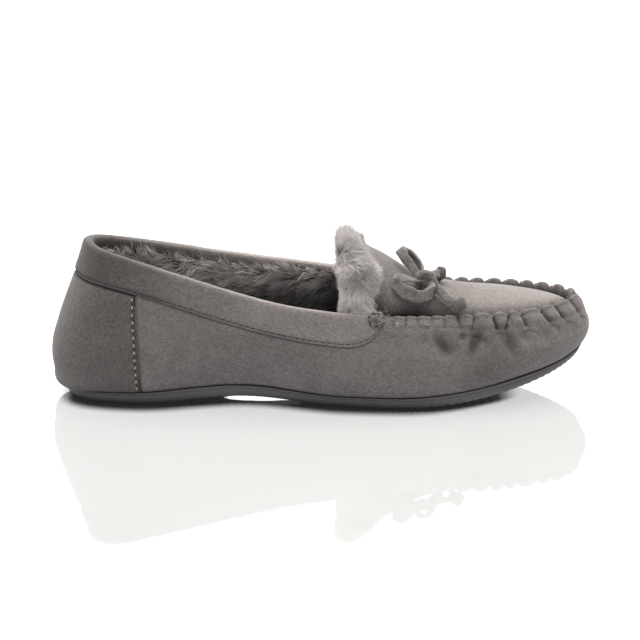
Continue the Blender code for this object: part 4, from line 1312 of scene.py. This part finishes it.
def insole(count):
    """The fleece insole: a padded backing with strands over it."""
    columns = np.linspace(0, 1, 44)
    x = np.linspace(-112, 114, 150) * MM
    fine = np.linspace(0, STATIONS, 4000, endpoint=False)
    edge = feather_edge(fine) - plan_outward(feather_edge, fine)[:, :2] * 7.5 * MM
    lateral = fine < TOE
    near = np.interp(x, edge[lateral, 0], edge[lateral, 1])
    back = ~lateral
    order = np.argsort(edge[back, 0])
    far = np.interp(x, edge[back, 0][order], edge[back, 1][order])
    y = mix(near[:, None], far[:, None], columns)
    grid_x = x[:, None] + 0 * columns
    height = sole_top(grid_x) + 9.2 * MM
    edge_drop = np.minimum(columns, 1 - columns)[None] * (far - near)[:, None]
    height = height - 2.4 * MM * bell(edge_drop, 3 * MM) + 0.5 * MM * noise(
        np.stack([grid_x, y, 0 * y], axis=-1), 14 * MM, 61
    )
    point = np.stack([grid_x, y, height], axis=-1)
    backing = shell("insole_backing", point, 4.4 * MM, PELT_SHADED)
    shown = smooth_step((32 * MM - grid_x) / (20 * MM)) + 0.08
    places = scatter(point, count, 71, shown)
    roots = sample(point, places)
    normals = unit(sample(grid_normals(point), places))
    swirl = noise(roots, 16 * MM, 73)[:, None] * 2.0
    comb = np.concatenate([np.cos(swirl), np.sin(swirl), 0 * swirl], axis=1)
    # shade=-0.5 paints the insole's fleece darker: painted shade deep inside the slipper.
    strands = fur(
        "insole_fleece", roots, normals, comb, 8.5 * MM, LINING_FLEECE, 75, clump=24, pull=0.7,
        lift=0.5, width=0.27, shade=-0.5,
    )
    put(backing, "lining_fleece", "insole_sock")
    put(strands, "lining_fleece")


def apron_lining():
    """The fleece under the apron: a backing with strands that hang below it."""
    stations = np.linspace(*APRON_LINING, 90)
    across = np.linspace(-0.8, 0.8, 40)
    point, _, _, outward = apron_frame(stations[:, None] + 0 * across, across)
    under = point - outward * 3.3 * MM
    backing = shell("apron_lining_backing", under, 1.8 * MM, PELT_SHADED)
    places = scatter(under, 5000, 81)
    roots = sample(under, places) - unit(sample(outward, places)) * 1.6 * MM
    normals = -unit(sample(outward, places))
    comb = np.tile([1.0, 0.2, 0.0], (len(roots), 1)) + noise_vectors(roots, 10 * MM, 83)
    strands = fur(
        "apron_lining_fleece", roots, normals, comb, 6 * MM, LINING_FLEECE, 85, width=0.3
    )
    put(backing, "lining_fleece", "apron_lining")
    put(strands, "lining_fleece")


CUFF_FRONT, CUFF_INSIDE = 14, 6  # lines of the cuff over the apron and under its back edge


def cuff_grid(lift, columns=150):
    """The cuff's surface, a lift above the apron it wraps: across, then front to inside."""
    across = np.sin(np.linspace(-math.pi / 2, math.pi / 2, columns) * 0.97)
    clear = 0.5 * MM + lift
    lines = []
    reach = mix(0.3, 0.18, 1 - across**2) - 0.07 * smooth_step((-across - 0.76) / 0.2)
    reach = reach + 0.07 * bell(across + 0.6, 0.16)
    for part in np.linspace(1, 0, CUFF_FRONT):
        spot, _, _, normal = apron_frame(THROAT_LATERAL + reach * part, across)
        tuck = smooth_step((1 - part) / 0.2)
        lines.append(spot + normal * mix(0.4 * clear, clear, tuck))
    spot, forward, _, outward = apron_frame(np.full_like(across, THROAT_LATERAL), across)
    core = spot - outward * SUEDE / 2
    radius = SUEDE / 2 + clear
    for angle in np.radians(np.arange(15, 170, 15)):
        lines.append(core + radius * (outward * math.cos(angle) - forward * math.sin(angle)))
    for part in np.linspace(0, 1, CUFF_INSIDE):
        spot, _, _, normal = apron_frame(np.full_like(across, THROAT_LATERAL + 0.14 * part), across)
        lines.append(spot - normal * (SUEDE + clear))
    return np.stack(lines, axis=1), across


def cuff(count):
    """The fleece cuff: a backing round the apron's back edge under deep combed strands."""
    grid, across = cuff_grid(1.0 * MM)
    normals = grid_normals(grid)
    flip = np.mean(normals[:, :10, 2]) < 0
    if flip:
        normals = -normals
    backing = shell("cuff_backing", grid, 1.2 * MM, CUFF_PELT, flip=flip)
    rows = grid.shape[1]
    weight = np.ones(grid.shape[:2])
    weight[:, 26:] = 0.5
    places = scatter(grid, count, 91, weight)
    roots = sample(grid, places)
    facing = unit(sample(normals, places))
    v = across[places[0]][:, None]
    forward = np.array([0.95, 0.0, -0.3])
    down = np.array([0.1, -0.45, -0.85])
    folded = smooth_step((places[1] - 11.0) / 5.0)
    spread = mix(0.75, -1.0, smooth_step((places[1][:, None] - 2) / 12.0))
    low_comb = down + forward * spread
    middle_comb = forward * mix(1.0, 0.2, folded[:, None]) + 0.35 * down
    high_comb = -0.8 * down - forward * 0.35
    comb = mix(low_comb, middle_comb, smooth_step((v + 0.72) / 0.2))
    comb = mix(comb, high_comb, smooth_step((v + 0.44) / 0.16))
    comb = mix(comb, forward * 0.4 + (0.0, 0.4, -0.8), smooth_step((v - 0.3) / 0.4))
    comb = comb + 0.5 * noise_vectors(roots, 6 * MM, 93)
    lift = np.clip(0.3 + 0.3 * noise(roots, 6 * MM, 97), 0.06, 0.7)
    low = smooth_step((-0.5 - v[:, 0]) / 0.35)
    length = 8.0 * MM * (1 - 0.4 * folded) * (1 - 0.3 * low)
    crest = smooth_step((v[:, 0] + 0.5) / 0.2)
    beside = np.clip((8.0 - places[1]) / 6.0, 0, 1) + 0.4 * np.clip((places[1] - 8.0) / 6.0, 0, 1)
    length = length * (1 - 0.5 * crest * beside) * (1 + 0.3 * noise(roots, 5 * MM, 103))
    # Painted shade in a dark line between clumps where the fleece parts; in the shade shift below,
    # painted shade towards the lateral end, where it hangs low on the near side, and painted light
    # over the top.
    parting_shade = bell(v[:, 0] + 0.38, 0.05) * bell(places[1] - 4.0, 3.0)
    strands = fur(
        "cuff_fleece", roots, facing, comb, length, CUFF_FLEECE, 99, clump=16, pull=0.5,
        lift=lift, width=0.16, stray=0.27, vary=0.85,
        shade=0.5 * noise(roots, 6 * MM, 101) + mix(-0.12, 0.08, smooth_step((v[:, 0] + 0.65) / 0.4))
        - 0.9 * parting_shade,
    )
    put(backing, "cuff_fleece", "apron_cuff")
    put(strands, "cuff_fleece")


def fluff(centre, count, length, seed, spread):
    """Roots, normals, comb and lengths of a few loose strands that point every way."""
    rng = np.random.default_rng(seed)
    roots = centre + rng.normal(0, spread * MM, (count, 3))
    normals = unit(rng.normal(0, 1, (count, 3)) + (0, -0.8, 0.5))
    comb = rng.normal(0, 1, (count, 3))
    return roots, normals, comb, np.full(count, length * MM)


def seam_fluff():
    """Stray fleece caught in the tack's and the seam's stitches."""
    spots = [middle_and_half(f"corner_tack_{side}")[0] for side in ("lateral", "medial")]
    parts = [fluff(spots[0], 60, 5.0, 401, 1.8), fluff(spots[1], 40, 4.5, 402, 1.6)]
    run = CREASES[:4]
    stations = np.interp(np.append(run - 3 * MM, run + 60 * MM), SEAM_RUN, SEAM_STATIONS)
    for i, spot in enumerate(top_edge(stations)):
        parts.append(fluff(spot + (0, -1.8 * MM, -1.6 * MM), 18, 3.4, 410 + i, 0.9))
    toe_tip = np.interp(SEAM_RUN[-1] * np.array([0.45, 0.49, 0.67]), SEAM_RUN, SEAM_STATIONS)
    for i, spot in enumerate(top_edge(toe_tip)):
        parts.append(fluff(spot + (0, 0, 1.0 * MM), 14, 4.0, 430 + i, 0.8))
    roots, normals, comb, length = (
        np.concatenate([np.broadcast_to(p[k], (len(p[0]),) + np.shape(p[k])[1:]) for p in parts])
        for k in range(4)
    )
    return fur("seam_fluff", roots, normals, comb, length, CUFF_FLEECE, 440, clump=5, pull=0.3,
               lift=0.6, width=0.13, stray=0.8)


# ---------------------------------------------------------------- build
FEW = 1.0  # share of the strands to make

put(side_wall(), "suede", "side_wall")
put(heel_panel(), "heel_suede", "heel_panel")
put(collar_band(), "collar_suede", "collar_band")
put(apron_panel(), "apron_suede", "apron")
put(outsole(), "sole_rubber", "outsole")

put(piece_from("collar_topstitch", collar_stitches(), DARK_THREAD_AND_HOLE_SHADE), "thread", "collar_stitching")
for side, station in (
    ("lateral", HEEL_SEAM_LATERAL - 0.042),
    ("medial", HEEL_SEAM_MEDIAL + 0.042 - STATIONS),
):
    beads = piece_from(f"heel_stitch_beads_{side}", heel_stitches(station, True), THREAD_LIGHT)
    put(beads, "thread", f"heel_stitching_{side}")
    # Pellets of painted shade in the holes between the beads.
    holes = piece_from(f"heel_stitch_hole_shade_{side}", heel_stitches(station, False), DARK_THREAD_AND_HOLE_SHADE)
    put(holes, "thread")
put(piece_from("seam_thread", seam_threads(), THREAD_LIGHT), "thread", "moc_seam_thread")

for side, rows, dimples, heading in (
    ("lateral", HALF_LATERAL, LACE_DIMPLES, -0.15),
    ("medial", HALF_MEDIAL, (), 0.3),
):
    lace, path = lace_half(f"lace_{side}", rows, dimples)
    put(lace, "lace_suede", f"lace_loop_{side}", f"lace_tail_{side}")
    knot = piece_from(f"lace_end_knot_{side}", overhand(f"tail_knot_{side}", heading), SUEDE_KNOT_SHADED)
    put(knot, "lace_suede", f"tail_knot_{side}")
put(piece_from("bow_wraps", knot_wraps(), SUEDE_LACE), "lace_suede", "bow_knot")

for side in ("lateral", "medial"):
    ball, ring = tack(f"corner_tack_{side}")
    put(piece_from(f"tack_{side}", ball, SUEDE_LACE), "lace_suede", f"corner_tack_{side}")
    put(piece_from(f"tack_thread_{side}", ring, DARK_THREAD_AND_HOLE_SHADE), "thread")

quarter = lining_grid(-4.2, 4.3, 0.2 * MM, LINING_DEPTH)
lining("quarter", "quarter_lining", quarter, int(32000 * FEW), 201)
vamp = lining_grid(4.3, 11.8, None, LINING_DEPTH, rows=30, step=2.4)
lining("vamp", "vamp_lining", vamp, int(9000 * FEW), 301, length=7.0)
put(seam_fluff(), "cuff_fleece")
insole(int(14000 * FEW))
apron_lining()
cuff(int(32000 * FEW))

for node, finish in (
    ("insole_board", BOARD),
    ("footbed_foam", FOAM),
    ("heel_stiffener", FELT),
    ("collar_padding", FOAM),
):
    data = frame["nodes"][node].data
    data.materials.clear()
    data.materials.append(finish)


# ---------------------------------------------------------------- stage, light and camera
FLOOR_GLOW = 0.57  # light the floor gives off by itself: a backlit table
FLOOR_TONE = 0.18  # how much light it scatters back
PAINTED_GAP_LIGHT = 1.2  # painted light: how brightly the floor glows in a patch under the arch of the sole
FLOOR_REACH = 14.0  # metres each way from the slipper
GAP_CENTRE, GAP_HALF = (-26.5 * MM, -13.0 * MM), (19.5 * MM, 5.4 * MM)  # x and y of that patch


def painted_floor_shadow(x, y):
    """Painted shadow on the floor: 1 where the sole stands on it, fading to 0 a few millimetres in
    front of it.
    """
    fine = feather_edge(np.linspace(0, STATIONS, 240, endpoint=False))
    spots = np.column_stack([x.ravel(), y.ravel()])
    away = np.min(np.linalg.norm(spots[:, None] - fine[None], axis=-1), axis=1).reshape(x.shape)
    sides = []
    for half in (fine[:120], fine[120:]):
        order = np.argsort(half[:, 0])
        sides.append(np.interp(x, half[order, 0], half[order, 1]))
    inside = (y > sides[0]) & (y < sides[1])
    ahead = np.where(inside, -away, away) + 2.0 * tread(x) + 2.5 * MM * smooth_step(x / (50 * MM))
    fade = mix(11.5, 6.5, smooth_step((x - 45 * MM) / (30 * MM))) * MM
    near = 0.97 - 0.97 * smooth_step((ahead - 1.2 * MM) / fade)
    return near * smooth_step((97 * MM - x) / (14 * MM)) * smooth_step((x + 128 * MM) / (10 * MM))


def stage():
    """A backlit glossy white table, evenly bright, with a painted shadow where the sole stands and a
    painted bright patch under the arch.
    """
    fine_x = np.linspace(-0.15, 0.15, 201)
    fine_y = np.linspace(-0.075, 0.06, 181)
    x = np.concatenate([[-FLOOR_REACH], fine_x, [FLOOR_REACH]])[:, None]
    y = np.concatenate([[-FLOOR_REACH], fine_y, [FLOOR_REACH]])[None]
    x, y = x + 0 * y, y + 0 * x
    contact_shadow = painted_floor_shadow(x, y)
    grid = np.stack([x, y, 0 * x], axis=-1)
    white = Finish("floor_white", (FLOOR_TONE,) * 3, 0.03, specular=0.5)
    white.shader.inputs["IOR"].default_value = 1.75
    # The floor's colour runs from black under the painted shadow to its full tone.
    tones = ((0.0, (0.0,) * 3), (1.0, (FLOOR_TONE,) * 3))
    white.colour_from(white.ramp(white.attribute("clear"), tones))
    white.link(white.attribute("painted_glow"), white.shader.inputs["Emission Strength"])
    white.shader.inputs["Emission Color"].default_value = (1.0, 1.0, 1.0, 1.0)
    gap_x = (x - GAP_CENTRE[0]) / GAP_HALF[0]
    gap_y = (y - GAP_CENTRE[1]) / GAP_HALF[1]
    painted_gap_patch = 1 - gap_x**2 - gap_y**2
    # What the floor gives off carries painted light and shadow: none under the sole, and a bright
    # patch under the arch.
    light = mix(FLOOR_GLOW * (1 - contact_shadow), PAINTED_GAP_LIGHT, smooth_step(painted_gap_patch / 0.15))
    quads = grid_quads(*x.shape)[:, ::-1]
    floor = mesh_piece(
        "floor", grid.reshape(-1, 3), quads, white.material, {"clear": 1 - contact_shadow, "painted_glow": light}
    )


def aimed(name, data, place, direction, axis="-Z"):
    """A light or camera at a place, with one of its axes along a direction."""
    piece = bpy.data.objects.new(name, data)
    piece.location = place
    piece.rotation_euler = Vector(direction).to_track_quat(axis, "Y").to_euler()
    bpy.context.scene.collection.objects.link(piece)
    return piece


def lamp(name, place, target, size, power):
    """A white rectangular light that faces a target."""
    data = bpy.data.lights.new(name, "AREA")
    data.shape = "RECTANGLE"
    data.size, data.size_y = size
    data.energy = power
    aimed(name, data, place, Vector(target) - Vector(place))


def sun(name, direction, spread, power):
    """A soft warm light from one side of the sky, even over the whole floor."""
    data = bpy.data.lights.new(name, "SUN")
    data.angle = math.radians(spread)
    data.energy = power
    data.color = (1.0, 0.967, 0.86)
    aimed(name, data, (0.0, 0.0, 0.0), direction, "Z")


VIEW_TURN, VIEW_RISE = math.radians(1.26), math.radians(16.5)
VIEW_DISTANCE, FOCAL_LENGTH = 1.5, 176.5  # metres, and millimetres on a 36 mm sensor


def camera():
    """The photograph's view: from the lateral side, a little above."""
    turn, rise = VIEW_TURN, VIEW_RISE
    back = np.array(
        [-math.sin(turn) * math.cos(rise), -math.cos(turn) * math.cos(rise), math.sin(rise)]
    )
    aim = np.array([0.0, 0.0, 30.0 * MM])
    place = aim + VIEW_DISTANCE * back
    right = unit(np.cross(-back, UP))
    up = np.cross(right, -back)
    target = aim + up * 4.2 * MM - right * 0.24 * MM
    data = bpy.data.cameras.new("camera")
    data.lens = FOCAL_LENGTH
    data.sensor_width = 36.0
    data.clip_end = 60.0
    bpy.context.scene.camera = aimed("camera", data, place, target - place)


def world():
    """A white studio: a bright backdrop behind the object, dim on the camera's side."""
    made = bpy.data.worlds.new("studio")
    made.use_nodes = True
    nodes, links = made.node_tree.nodes, made.node_tree.links
    background = nodes["Background"]
    background.inputs["Color"].default_value = (0.98, 0.99, 1.0, 1.0)
    coordinates = nodes.new("ShaderNodeTexCoord")
    split = nodes.new("ShaderNodeSeparateXYZ")
    links.new(coordinates.outputs["Generated"], split.inputs["Vector"])
    spans = []
    for axis, start, end, low, high in (("Y", -0.3, 0.5, 0.35, 1.1), ("Z", 0.35, 0.6, 2.1, 1.0)):
        span = nodes.new("ShaderNodeMapRange")
        span.interpolation_type = "SMOOTHSTEP"
        for label, value in (
            ("From Min", start), ("From Max", end), ("To Min", low), ("To Max", high),
        ):
            span.inputs[label].default_value = value
        links.new(split.outputs[axis], span.inputs["Value"])
        spans.append(span.outputs["Result"])
    power = nodes.new("ShaderNodeMath")
    power.operation = "MULTIPLY"
    links.new(spans[0], power.inputs[0])
    links.new(spans[1], power.inputs[1])
    links.new(power.outputs["Value"], background.inputs["Strength"])
    bpy.context.scene.world = made


stage()
sun("overhead", (0.0, 0.15, 1.0), 75, 3.8)
lamp("rim", (-1.3, 0.5, 0.6), (-0.05, 0.0, 0.04), (0.6, 0.6), 2.0)
camera()
world()
bpy.context.scene.view_settings.view_transform = "Standard"
